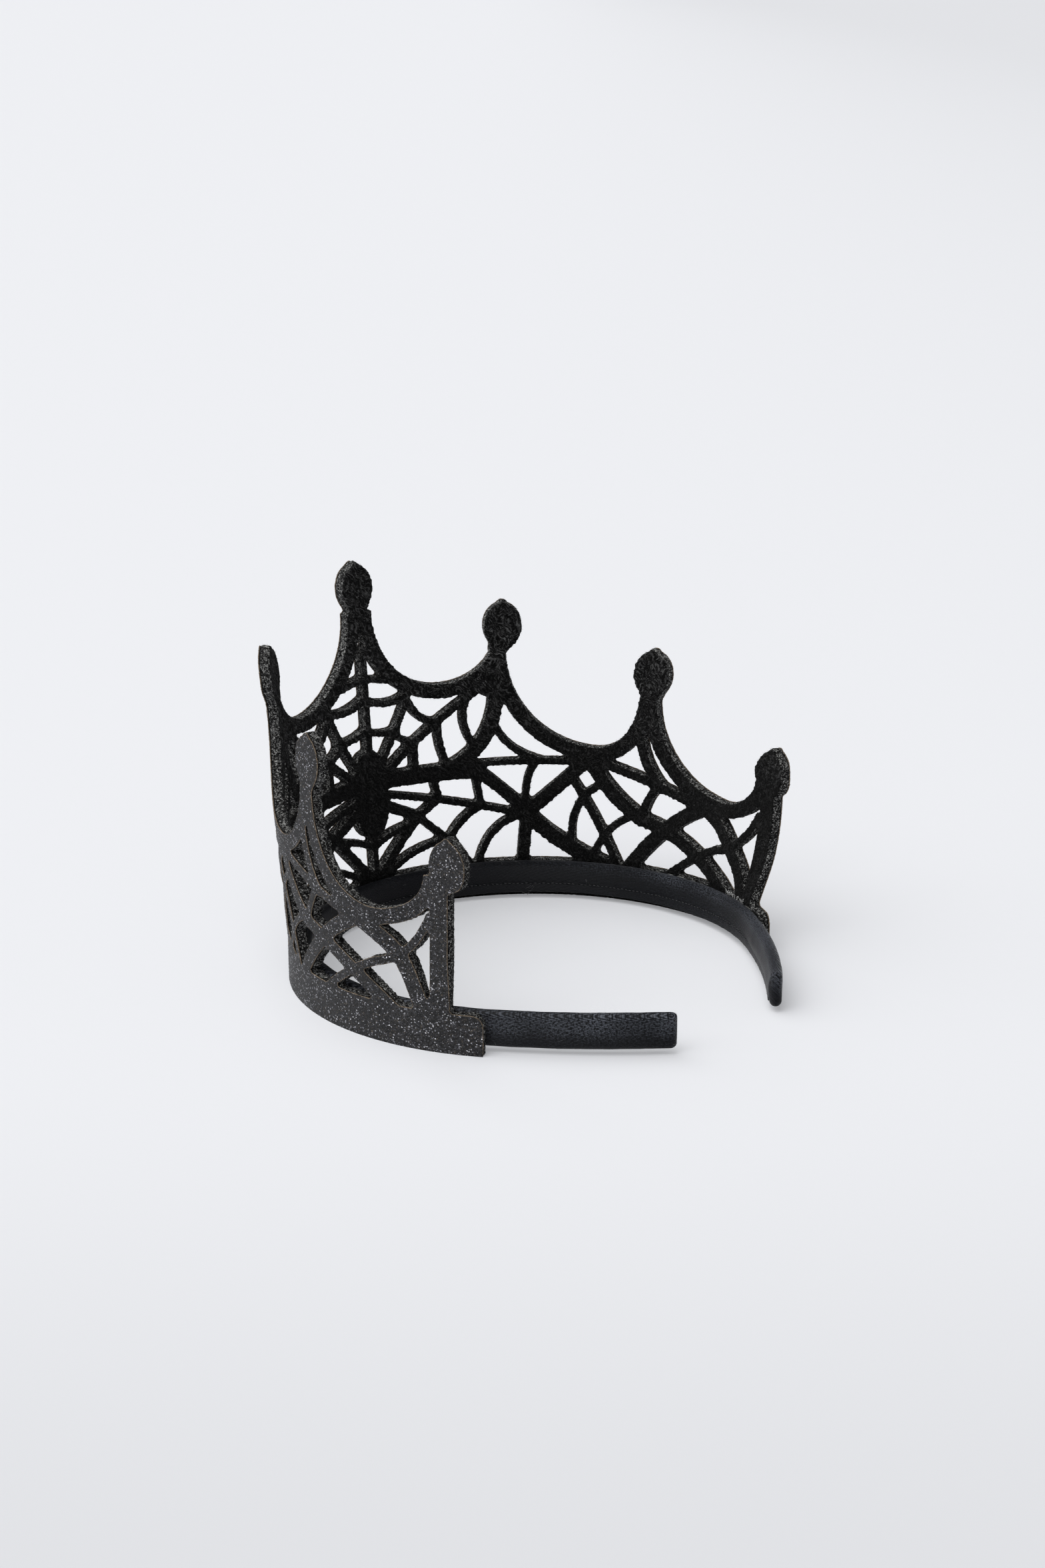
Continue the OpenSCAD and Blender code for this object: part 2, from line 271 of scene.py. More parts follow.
@dataclass(frozen=True)
class BandPlan:
    """Plan of the headband: an arc round the head, and a flatter one to each tip. In millimetres."""

    head_r: float = 65.0
    end_r: float = 180.0
    front_run: float = 141.0
    band_run: float = 190.0

    def turn(self, s: float) -> float:
        """Angle turned at s, in radians, with the sign of s."""
        front, end = min(abs(s), self.front_run), max(abs(s) - self.front_run, 0)
        return math.copysign(front / self.head_r + end / self.end_r, s)

    def outward(self, s: float) -> Vector:
        """The direction out of the headband at s."""
        t = self.turn(s)
        return Vector((math.sin(t), -math.cos(t), 0.0))

    def place(self, s: float) -> Vector:
        """The point of the headband's outer face at s."""
        first, full = min(abs(s), self.front_run) / self.head_r, abs(self.turn(s))
        x = self.head_r * math.sin(first) + self.end_r * (math.sin(full) - math.sin(first))
        y = self.head_r * (1 - math.cos(first)) + self.end_r * (math.cos(first) - math.cos(full))
        return Vector((math.copysign(x, s), y, 0.0))

    def flat(self, x: float, y: float) -> tuple[float, float]:
        """Finds where a point of the plan stands on the band.

        Args:
            x: The point's X, in millimetres.
            y: The point's Y.

        Returns:
            Its run round the headband, and its distance out from the outer face.
        """
        side, x = math.copysign(1.0, x), abs(x)
        s = math.atan2(x, self.head_r - y) * self.head_r
        if s <= self.front_run:
            return side * s, math.hypot(x, y - self.head_r) - self.head_r
        centre = self.place(self.front_run) - self.outward(self.front_run) * self.end_r
        turned = math.atan2(x - centre.x, centre.y - y)
        s = self.front_run + (turned - self.turn(self.front_run)) * self.end_r
        return side * s, math.hypot(x - centre.x, y - centre.y) - self.end_r


def held(share: float) -> float:
    """Share held between 0 and 1."""
    return min(max(share, 0.0), 1.0)


def eased(share: float) -> float:
    """Share held between 0 and 1 and eased at both."""
    share = held(share)
    return share * share * (3 - 2 * share)


@dataclass(frozen=True)
class Lean:
    """How far the web leans out at one point round the headband, for each millimetre of height."""

    s: float
    out: float


@dataclass(frozen=True)
class CrownSet:
    """Where flat points of the crown stand in the part's frame. Lengths in millimetres, turns in radians."""

    plan: BandPlan
    middle: Vector
    leans: tuple[Lean, ...] = (
        Lean(-130.0, 0.151),
        Lean(-107.0, 0.12),
        Lean(-84.0, 0.099),
        Lean(-41.0, 0.079),
        Lean(0.0, 0.074),
        Lean(41.0, 0.099),
        Lean(62.0, 0.075),
        Lean(84.0, -0.008),
        Lean(107.0, -0.018),
        Lean(130.0, -0.034),
    )
    lean_from: float = 12.0
    glue_shift: float = -0.7
    ease: float = 5.0
    mid_felt: float = 1.65
    post_at: float = 130.0
    turn_reach: float = 22.0
    turn_run: float = 17.0
    turn_rise: float = 14.0
    left_turn: float = 0.28
    right_turn: float = 0.27
    left_bow: float = 2.0
    bow_height: float = 38.0

    def _straight_lean(self, s: float) -> float:
        """Lean at s on straight lines between the points of the table."""
        s = min(max(s, self.leans[0].s), self.leans[-1].s)
        for a, b in zip(self.leans, self.leans[1:]):
            if s <= b.s:
                return a.out + (b.out - a.out) * (s - a.s) / (b.s - a.s)
        return self.leans[-1].out

    def lean(self, s: float) -> float:
        """Outward lean of the web at s, for each millimetre above lean_from, eased over the table's corners."""
        return sum(self._straight_lean(s + shift) for shift in (-self.ease, 0.0, self.ease)) / 3

    def on_band(self, s: float, z: float, d: float) -> Vector:
        """A point d out from the headband's outer face, in metres.

        Args:
            s: Run round the headband, in millimetres.
            z: Height, in millimetres.
            d: Distance out from the headband's outer face, in millimetres.

        Returns:
            The point in the part's frame.
        """
        p = self.plan.place(s) + self.plan.outward(s) * d + self.middle
        return Vector((p.x, p.y, z)) * MM

    def turned_out(self, s: float, z: float, d: float) -> tuple[float, float]:
        """Turns each end post and its finial out about an upright line, and bows the left post's foot out.

        The stiff felt there doesn't curl in with the headband.

        Args:
            s: Run round the headband, in millimetres.
            z: Height, in millimetres.
            d: Distance out from the headband's outer face, in millimetres.

        Returns:
            The new run and distance.
        """
        along = eased((abs(s) - self.post_at + self.turn_reach) / self.turn_run)
        upward = along * eased((z - self.lean_from) / self.turn_rise)
        turn = (self.left_turn if s < 0 else self.right_turn) * upward
        run = abs(s) - turn * (d - self.mid_felt)
        rise = held((z - self.lean_from) / self.bow_height)
        bow = self.left_bow * along * math.sin(math.pi * rise) if s < 0 else 0.0
        return math.copysign(run, s), d + turn * (abs(s) - self.post_at) + bow

    def bent(self, s: float, z: float, d: float) -> Vector:
        """A flat point of the web, bent round the head and leaned out, in metres."""
        s += self.glue_shift
        leaned = self.lean(s) * max(z - self.lean_from, 0.0)
        s, d = self.turned_out(s, z, d)
        return self.on_band(s, z, d + leaned)


def set_from_frame() -> CrownSet:
    """Finds the middle of the plan from the CAD headband's box.

    Returns:
        The crown's set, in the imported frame.
    """
    low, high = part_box("headband")
    seat_gap = 0.2
    return CrownSet(BandPlan(), Vector(((low.x + high.x) / 2 / MM, low.y / MM - seat_gap, 0.0)))


# Shader groups and finishes


class Tree:
    """A node tree that is filled from code."""

    def __init__(self, tree: bpy.types.NodeTree) -> None:
        """Starts on an empty or a new tree."""
        self.tree = tree

    def node(self, kind: str, inputs: dict[str | int, object] | None = None, **settings: object) -> bpy.types.Node:
        """Places one node.

        Args:
            kind: Blender's name of the node type.
            inputs: Values or sockets for its inputs, by name or number.
            settings: Properties of the node.

        Returns:
            The node.
        """
        made = self.tree.nodes.new(kind)
        for name, value in settings.items():
            setattr(made, name, value)
        for name, value in (inputs or {}).items():
            if isinstance(value, bpy.types.NodeSocket):
                self.tree.links.new(value, made.inputs[name])
            else:
                made.inputs[name].default_value = value
        return made

    def noise(self, vector: object, scale: object, detail: float, roughness: float = 0.5) -> bpy.types.Node:
        """A Noise Texture node."""
        values = {"Vector": vector, "Scale": scale, "Detail": detail, "Roughness": roughness}
        return self.node("ShaderNodeTexNoise", values)

    def vector(self, operation: str, a: object, b: object) -> bpy.types.NodeSocket:
        """Result of a Vector Math node on a and b, or on a scaled by b."""
        second = "Scale" if operation == "SCALE" else 1
        return self.node("ShaderNodeVectorMath", {0: a, second: b}, operation=operation).outputs[0]

    def math(self, operation: str, a: object, b: object = 0.0, clamp: bool = False) -> bpy.types.NodeSocket:
        """Result of a Math node on a and b."""
        return self.node("ShaderNodeMath", {0: a, 1: b}, operation=operation, use_clamp=clamp).outputs[0]

    def ramp(self, value: bpy.types.NodeSocket, low: float, high: float) -> bpy.types.NodeSocket:
        """Value mapped smoothly from low..high to 0..1."""
        values = {"Value": value, "From Min": low, "From Max": high}
        return self.node("ShaderNodeMapRange", values, interpolation_type="SMOOTHSTEP").outputs["Result"]

    def scaled(self, value: object, by: float, plus: float = 0.0) -> bpy.types.NodeSocket:
        """Value times by, plus a constant."""
        return self.math("ADD", self.math("MULTIPLY", value, by), plus)

    def blend(self, share: object, a: object, b: object, kind: str = "MIX") -> bpy.types.NodeSocket:
        """Colour a turning into b as share goes from 0 to 1, or into their product."""
        # Inputs 0, 6 and 7 and output 2 are the Mix node's factor and colours
        return self.node("ShaderNodeMix", {0: share, 6: a, 7: b}, data_type="RGBA", blend_type=kind).outputs[2]

    def end(self, out: bpy.types.Node, **values: bpy.types.NodeSocket) -> bpy.types.NodeTree:
        """Feeds a group's outputs by name and returns its tree."""
        for name, value in values.items():
            self.tree.links.new(value, out.inputs[name])
        return self.tree


@dataclass(frozen=True)
class GroupSpec:
    """Names and kinds of a shader group's sockets."""

    name: str
    inputs: tuple[tuple[str, str, float], ...]
    outputs: tuple[tuple[str, str], ...]

    def start(self) -> tuple[Tree, bpy.types.Node, bpy.types.Node]:
        """Makes the group with its sockets.

        Returns:
            The tree, its input node and its output node.
        """
        group = bpy.data.node_groups.new(self.name, "ShaderNodeTree")
        for name, kind, value in self.inputs:
            made = group.interface.new_socket(name, in_out="INPUT", socket_type=kind)
            if kind == FLOAT:
                made.default_value = value
        for name, kind in self.outputs:
            group.interface.new_socket(name, in_out="OUTPUT", socket_type=kind)
        return Tree(group), group.nodes.new("NodeGroupInput"), group.nodes.new("NodeGroupOutput")


class ShaderKit:
    """The shader groups that several finishes share, each built once."""

    def __init__(self) -> None:
        """Builds the groups."""
        self.fibres = self._fibres()
        self.flecks = self._flecks()
        self.twill = self._twill()
        self.wander = self._wander()

    def _fibres(self) -> bpy.types.NodeTree:
        """Matted fibres: long fine streaks that wander, over small pits."""
        tree, given, out = GroupSpec(
            "matted_fibres",
            (("Vector", VECTOR, 0), ("Scale", FLOAT, 900.0), ("Stretch", FLOAT, 5.0)),
            (("Streaks", FLOAT), ("Pits", FLOAT)),
        ).start()
        place, scale, stretch = (given.outputs[name] for name in ("Vector", "Scale", "Stretch"))
        drift = tree.vector("SUBTRACT", tree.noise(place, 260.0, 2.0).outputs["Color"], (0.5, 0.5, 0.5))
        moved = tree.vector("ADD", place, tree.vector("SCALE", drift, 0.006))
        parts = tree.node("ShaderNodeSeparateXYZ", {0: moved})
        along = tree.math("DIVIDE", tree.math("ADD", parts.outputs[0], parts.outputs[2]), stretch)
        across = tree.math("SUBTRACT", parts.outputs[2], parts.outputs[0])
        laid = tree.node("ShaderNodeCombineXYZ", {0: along, 1: parts.outputs[1], 2: across}).outputs[0]
        streaks = tree.noise(laid, scale, 4.0, 0.65).outputs["Fac"]
        return tree.end(out, Streaks=streaks, Pits=tree.noise(place, scale, 3.0, 0.7).outputs["Fac"])

    def _flecks(self) -> bpy.types.NodeTree:
        """Packed glitter: cells that each face their own way, with a tone and a mask for the bright ones."""
        tree, given, out = GroupSpec(
            "packed_flecks",
            (("Vector", VECTOR, 0), ("Scale", FLOAT, 2400.0), ("Tilt", FLOAT, 0.6), ("Share", FLOAT, 0.2)),
            (("Tone", FLOAT), ("Bright", FLOAT), ("Hue", FLOAT), ("Normal", VECTOR)),
        ).start()
        place = {name: given.outputs[name] for name in ("Vector", "Scale")}
        cells = tree.node("ShaderNodeTexVoronoi", place).outputs["Color"]
        chance = tree.node("ShaderNodeSeparateColor", {0: cells})
        lean = tree.vector("SCALE", tree.vector("SUBTRACT", cells, (0.5, 0.5, 0.5)), given.outputs["Tilt"])
        facing = tree.vector("ADD", tree.node("ShaderNodeNewGeometry").outputs["Normal"], lean)
        normal = tree.node("ShaderNodeVectorMath", {0: facing}, operation="NORMALIZE").outputs[0]
        bright = tree.math("LESS_THAN", chance.outputs[0], given.outputs["Share"])
        return tree.end(out, Tone=chance.outputs[1], Bright=bright, Hue=chance.outputs[2], Normal=normal)

    def _twill(self) -> bpy.types.NodeTree:
        """Satin's fine slanting ribs, from a cloth's own run and height. Rib is in millimetres."""
        tree, given, out = GroupSpec(
            "satin_twill",
            (("Vector", VECTOR, 0), ("Rib", FLOAT, 0.45)),
            (("Height", FLOAT), ("Yarn", FLOAT)),
        ).start()
        parts = tree.node("ShaderNodeSeparateXYZ", {0: given.outputs["Vector"]})
        slant = tree.math("ADD", parts.outputs[1], tree.math("MULTIPLY", parts.outputs[0], 0.15))
        pitch = tree.math("MULTIPLY", given.outputs["Rib"], MM)
        phase = tree.math("MULTIPLY", tree.math("DIVIDE", slant, pitch), 2 * math.pi)
        height = tree.scaled(tree.math("SINE", phase), 0.5, 0.5)
        return tree.end(out, Height=height, Yarn=tree.noise(given.outputs["Vector"], 1800.0, 2.0).outputs["Fac"])

    def _wander(self) -> bpy.types.NodeTree:
        """Slow change over a surface, as handling and uneven dye leave."""
        tree, given, out = GroupSpec(
            "slow_change",
            (("Vector", VECTOR, 0), ("Scale", FLOAT, 60.0)),
            (("Share", FLOAT),),
        ).start()
        value = tree.noise(given.outputs["Vector"], given.outputs["Scale"], 3.0).outputs["Fac"]
        return tree.end(out, Share=tree.ramp(value, 0.35, 0.65))


class Finish:
    """A new material with its Principled shader."""

    def __init__(self, name: str, kit: ShaderKit) -> None:
        """Starts the material.

        Args:
            name: Name of the material.
            kit: The shared shader groups.
        """
        self.kit = kit
        self.material = bpy.data.materials.new(name)
        self.material.use_nodes = True
        self.tree = Tree(self.material.node_tree)
        self.shader = self.material.node_tree.nodes["Principled BSDF"]

    def set(self, **values: object) -> None:
        """Sets plain values on the shader's sockets; an underscore in a name stands for a space."""
        for name, value in values.items():
            self.shader.inputs[name.replace("_", " ")].default_value = value

    def feed(self, name: str, socket: bpy.types.NodeSocket) -> None:
        """Links a socket to one of the shader's inputs."""
        self.tree.tree.links.new(socket, self.shader.inputs[name])

    def group(self, group: bpy.types.NodeTree, inputs: dict[str | int, object]) -> bpy.types.Node:
        """Places a shared group with its own values."""
        return self.tree.node("ShaderNodeGroup", inputs, node_tree=group)

    def wandering(self, scale: float) -> bpy.types.NodeSocket:
        """Slow change at a scale, from 0 to 1."""
        return self.group(self.kit.wander, {"Vector": self.place(), "Scale": scale}).outputs["Share"]

    def place(self) -> bpy.types.NodeSocket:
        """Object coordinates."""
        return self.tree.node("ShaderNodeTexCoord").outputs["Object"]

    def cloth(self) -> bpy.types.NodeSocket:
        """The piece's own run and height, from its UV map."""
        return self.tree.node("ShaderNodeUVMap", uv_map="cloth").outputs["UV"]

    def bump(self, height: bpy.types.NodeSocket, strength: float, distance: float, **more: object) -> None:
        """Feeds the shader's Normal from a Bump node, which more inputs may be given to by name."""
        values = {"Height": height, "Strength": strength, "Distance": distance, **more}
        self.feed("Normal", self.tree.node("ShaderNodeBump", values).outputs["Normal"])


def grey(value: float, blue: float = 1.0) -> Colour:
    """A grey with a little more or less blue."""
    return (value, value, value * blue, 1.0)


@dataclass(frozen=True)
class FeltFinish:
    """Thick black felt: matted and dull, with painted light that lifts its face towards the top, and painted glints
    of light on the fibre ends over its cuts.
    """

    deep: float = 0.002
    face: float = 0.034
    # Tone of the painted light that lifts the felt's face towards the top.
    painted_top_light: float = 0.14
    # Tone of the painted glints on the fibre ends over the cuts.
    wall_glint: float = 0.6

    def build(self, kit: ShaderKit) -> bpy.types.Material:
        """The felt's material."""
        finish = Finish("black_felt", kit)
        place, tree = finish.place(), finish.tree
        matted = finish.group(kit.fibres, {"Vector": place, "Scale": 1500.0, "Stretch": 6.0})
        wall = tree.ramp(tree.node("ShaderNodeAttribute", attribute_name="wall").outputs["Fac"], 0.25, 0.75)
        streak = tree.ramp(matted.outputs["Streaks"], 0.47, 0.70)
        height = tree.node("ShaderNodeSeparateXYZ", {0: place}).outputs[2]
        # Painted light: the face turns from its own tone to a lighter one towards the top, as where light falls from
        # above.
        top_lit_face = tree.blend(tree.ramp(height, 0.036, 0.070), grey(self.face), grey(self.painted_top_light))
        base = tree.blend(streak, grey(self.deep), top_lit_face)
        base = tree.blend(tree.math("MULTIPLY", finish.wandering(90.0), 0.35), base, grey(self.deep))
        # Painted glints: pale specks, mostly on the cut walls and a few on the faces, stand for light catching the
        # fibre ends.
        ends = finish.group(kit.flecks, {"Vector": place, "Scale": 3600.0, "Tilt": 0.5, "Share": 0.52})
        glinting = tree.math("MULTIPLY", ends.outputs["Bright"], tree.ramp(matted.outputs["Pits"], 0.42, 0.58))
        pale = tree.math("MULTIPLY", glinting, tree.scaled(wall, 0.95, 0.02))
        tip = tree.blend(ends.outputs["Tone"], grey(0.05), grey(self.wall_glint, 0.97))
        finish.feed("Base Color", tree.blend(pale, base, tip))
        finish.set(Roughness=0.9, Sheen_Weight=0.02, Sheen_Roughness=0.5, Specular_IOR_Level=0.06)
        relief = tree.math("ADD", matted.outputs["Streaks"], matted.outputs["Pits"])
        finish.bump(relief, 1.0, 0.0007, Normal=ends.outputs["Normal"])
        return finish.material


@dataclass(frozen=True)
class GlitterFinish:
    """The printed glitter sheet on the felt's outer face, with the tan line of its backing along each cut."""

    dark: float = 0.003
    mid: float = 0.065
    spark: float = 0.38
    warm: Colour = (0.12, 0.10, 0.08, 1.0)
    dark_backing: Colour = (0.06, 0.046, 0.032, 1.0)
    pale_backing: Colour = (0.26, 0.20, 0.14, 1.0)

    def build(self, kit: ShaderKit) -> bpy.types.Material:
        """The glitter sheet's material."""
        finish = Finish("charcoal_glitter", kit)
        place, tree = finish.place(), finish.tree
        packed = finish.group(kit.flecks, {"Vector": place, "Scale": 3200.0, "Tilt": 0.9, "Share": 0.06})
        wall = tree.node("ShaderNodeAttribute", attribute_name="wall").outputs["Fac"]
        tone = tree.math("POWER", packed.outputs["Tone"], 2.0)
        tinted = tree.blend(tree.ramp(packed.outputs["Hue"], 0.8, 0.98), grey(self.mid, 1.1), self.warm)
        ground = tree.blend(tone, grey(self.dark), tinted)
        ground = tree.blend(tree.math("MULTIPLY", finish.wandering(500.0), 0.35), ground, grey(self.dark))
        colour = tree.blend(packed.outputs["Bright"], ground, grey(self.spark, 1.08))
        backing = tree.blend(packed.outputs["Tone"], self.dark_backing, self.pale_backing)
        colour = tree.blend(tree.ramp(wall, 0.3, 0.65), colour, backing)
        finish.feed("Base Color", colour)
        shiny = tree.math("MULTIPLY", packed.outputs["Bright"], tree.math("SUBTRACT", 1.0, wall), clamp=True)
        finish.feed("Metallic", tree.math("MULTIPLY", shiny, 0.8))
        finish.feed("Roughness", tree.math("SUBTRACT", 0.6, tree.math("MULTIPLY", shiny, 0.3)))
        finish.set(Specular_IOR_Level=0.3)
        finish.bump(packed.outputs["Tone"], 0.5, 0.0002, Normal=packed.outputs["Normal"])
        return finish.material


@dataclass(frozen=True)
class FlakeFinish:
    """Loose bright flakes that stand in the glitter."""

    tone: float = 0.36

    def build(self, kit: ShaderKit) -> bpy.types.Material:
        """The flakes' material."""
        finish = Finish("silver_flake", kit)
        tone = finish.group(kit.flecks, {"Vector": finish.place(), "Scale": 1500.0}).outputs["Tone"]
        bright = finish.tree.math("POWER", tone, 2.8)
        finish.feed("Base Color", finish.tree.blend(bright, grey(self.tone * 0.12), grey(self.tone, 1.08)))
        finish.set(Metallic=1.0, Roughness=0.3)
        return finish.material


@dataclass(frozen=True)
class SatinFinish:
    """Black satin with slanting ribs and a soft sheen; the ribs carry a painted sheen, with painted highlights over
    the band's upper edge and its ends.
    """

    name: str
    colour: Colour = (0.003, 0.0034, 0.0048, 1.0)
    # Colour of the painted sheen on the ribs.
    painted_sheen: Colour = (0.125, 0.135, 0.16, 1.0)
    rib: float = 0.4

    def build(self, kit: ShaderKit) -> bpy.types.Material:
        """The satin's material."""
        finish = Finish(self.name, kit)
        cloth = finish.cloth()
        tree = finish.tree
        twill = finish.group(kit.twill, {"Vector": cloth, "Rib": self.rib})
        lit = tree.math("MULTIPLY", tree.ramp(twill.outputs["Yarn"], 0.35, 0.65), twill.outputs["Height"])
        parts = tree.node("ShaderNodeSeparateXYZ", {0: cloth})
        # Painted highlights: the ribs grow brighter towards the band's upper edge and towards its free ends, where
        # light falls on them.
        ends = tree.ramp(tree.math("ABSOLUTE", parts.outputs[0]), 0.045, 0.12)
        upper = tree.ramp(parts.outputs[1], 0.003, 0.009)
        for share, by, plus in ((finish.wandering(2200.0), 0.5, 0.5), (upper, 2.0, 0.3), (ends, 0.82, 0.13)):
            lit = tree.math("MULTIPLY", lit, tree.scaled(share, by, plus))
        # The real twill pattern, shown through its painted sheen.
        ribbed = tree.blend(lit, self.colour, self.painted_sheen)
        dulled = tree.math("MULTIPLY", finish.wandering(70.0), 0.5)
        finish.feed("Base Color", tree.blend(dulled, ribbed, self.colour))
        finish.feed("Roughness", tree.scaled(twill.outputs["Yarn"], 0.25, 0.3))
        finish.set(Specular_IOR_Level=0.13, Sheen_Weight=0.02, Sheen_Roughness=0.3)
        height = tree.math("ADD", twill.outputs["Height"], twill.outputs["Yarn"])
        finish.bump(height, 0.7, 0.00022)
        return finish.material


@dataclass(frozen=True)
class ThreadFinish:
    """Spun black sewing thread."""

    def build(self, kit: ShaderKit) -> bpy.types.Material:
        """The thread's material."""
        finish = Finish("black_thread", kit)
        matted = finish.group(kit.fibres, {"Vector": finish.place(), "Scale": 4000.0, "Stretch": 3.0})
        finish.feed("Base Color", finish.tree.blend(matted.outputs["Streaks"], grey(0.008), grey(0.04, 1.1)))
        finish.set(Roughness=0.7, Sheen_Weight=0.2)
        return finish.material


@dataclass(frozen=True)
class SmallFinish:
    """Glue, lint and fibres: one colour that turns slowly into another."""

    name: str
    dark: Colour
    light: Colour
    scale: float = 700.0
    roughness: float = 0.8
    sheen: float = 0.3
    specular: float = 0.5

    def build(self, kit: ShaderKit) -> bpy.types.Material:
        """The small piece's material."""
        finish = Finish(self.name, kit)
        finish.feed("Base Color", finish.tree.blend(finish.wandering(self.scale), self.dark, self.light))
        finish.set(Roughness=self.roughness, Sheen_Weight=self.sheen, Specular_IOR_Level=self.specular)
        return finish.material


@dataclass(frozen=True)
class PaintedShade:
    """Painted shade: how the floor darkens along one direction, between two distances from the middle, in metres."""

    way: tuple[float, float, float]
    start: float
    end: float
    loss: float


@dataclass(frozen=True)
class FloorFinish:
    """Matt pale paper that glows a little, painted light that softens the shadows on it, with painted shade that
    makes it a little darker towards one side and towards the front.
    """

    tone: Colour = (0.60, 0.607, 0.628, 1.0)
    # Strength of the paper's glow, painted light that softens the shadows on it.
    glow: float = 0.42
    # Painted shade across the floor, towards one side and towards the front.
    painted_shades: tuple[PaintedShade, ...] = (
        PaintedShade((-0.707, 0.707, 0.0), -0.25, 1.6, 0.11),
        PaintedShade((0.707, 0.707, 0.0), 0.05, 0.40, 0.15),
    )

    def build(self, kit: ShaderKit) -> bpy.types.Material:
        """The floor's material."""
        finish = Finish("pale_paper", kit)
        tree, place, colour = finish.tree, finish.place(), self.tone
        # Painted shade: the floor darkens towards one side and towards the front.
        for fade in self.painted_shades:
            run = tree.node("ShaderNodeVectorMath", {0: place, 1: fade.way}, operation="DOT_PRODUCT").outputs["Value"]
            colour = tree.blend(tree.ramp(run, fade.start, fade.end), colour, grey(1 - fade.loss), "MULTIPLY")
        finish.feed("Base Color", colour)
        # Painted light: the paper glows in its own colour, though it is no lamp.
        finish.feed("Emission Color", colour)
        finish.set(Roughness=0.9, Specular_IOR_Level=0.1, Emission_Strength=self.glow)
        return finish.material


@dataclass
class Finishes:
    """Every material of the scene."""

    kit: ShaderKit = field(default_factory=ShaderKit)

    def __post_init__(self) -> None:
        """Builds the materials."""
        self.felt = FeltFinish().build(self.kit)
        self.glitter = GlitterFinish().build(self.kit)
        self.flake = FlakeFinish().build(self.kit)
        self.satin = SatinFinish("black_satin").build(self.kit)
        self.hem = SatinFinish("black_satin_hem").build(self.kit)
        self.thread = ThreadFinish().build(self.kit)
        cloudy = SmallFinish("set_glue", grey(0.02, 1.1), (0.11, 0.11, 0.105, 1.0), 500.0, 0.22, 0.0, 0.6)
        self.glue = cloudy.build(self.kit)
        self.lint = SmallFinish("pale_lint", grey(0.05), grey(0.35)).build(self.kit)
        self.strings = SmallFinish("pale_glue", grey(0.25), grey(0.75)).build(self.kit)
        self.fuzz = SmallFinish("felt_fuzz", grey(0.006), grey(0.09)).build(self.kit)
        self.floor = FloorFinish().build(self.kit)


# Mesh helpers


def piece(
    name: str, mesh: bpy.types.Mesh, material: bpy.types.Material, slot: Slot | None = None
) -> bpy.types.Object:
    """Puts a finished mesh in the scene as a piece that rides with the crown.

    Args:
        name: Name of the piece.
        mesh: Its mesh, placed in the part's frame.
        material: Its finish.
        slot: The record's material slot, if the piece has one. Not used.

    Returns:
        The object.
    """
    mesh.name = name
    mesh.materials.clear()
    mesh.materials.append(material)
    obj = bpy.data.objects.new(name, mesh)
    bpy.context.scene.collection.objects.link(obj)
    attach(obj, "root")
    logger.info("%s: %d faces", name, len(mesh.polygons))
    return obj


def mesh_of(bm: bmesh.types.BMesh, name: str, smooth: bool = True) -> bpy.types.Mesh:
    """Turns a bmesh into a mesh and frees it.

    Args:
        bm: The bmesh.
        name: Name of the mesh.
        smooth: Whether its faces are shaded smooth.

    Returns:
        The mesh.
    """
    for face in bm.faces:
        face.smooth = smooth
    mesh = bpy.data.meshes.new(name)
    bm.to_mesh(mesh)
    bm.free()
    return mesh


def modified(mesh: bpy.types.Mesh, kind: str, **settings: object) -> bpy.types.Mesh:
    """The mesh with one modifier applied.

    Args:
        mesh: The mesh, which is removed.
        kind: Blender's name of the modifier type.
        settings: Properties of the modifier.

    Returns:
        The new mesh.
    """
    obj = bpy.data.objects.new("worked_on", mesh)
    bpy.context.scene.collection.objects.link(obj)
    modifier = obj.modifiers.new("work", kind)
    for name, value in settings.items():
        setattr(modifier, name, value)
    bpy.context.view_layer.update()
    made = bpy.data.meshes.new_from_object(obj.evaluated_get(bpy.context.evaluated_depsgraph_get()))
    bpy.data.objects.remove(obj)
    bpy.data.meshes.remove(mesh)
    return made


def standing(at: Vector, way: Vector) -> Matrix:
    """A place at a point, whose Z lies along a direction."""
    return Matrix.Translation(at) @ way.to_track_quat("Z", "Y").to_matrix().to_4x4()


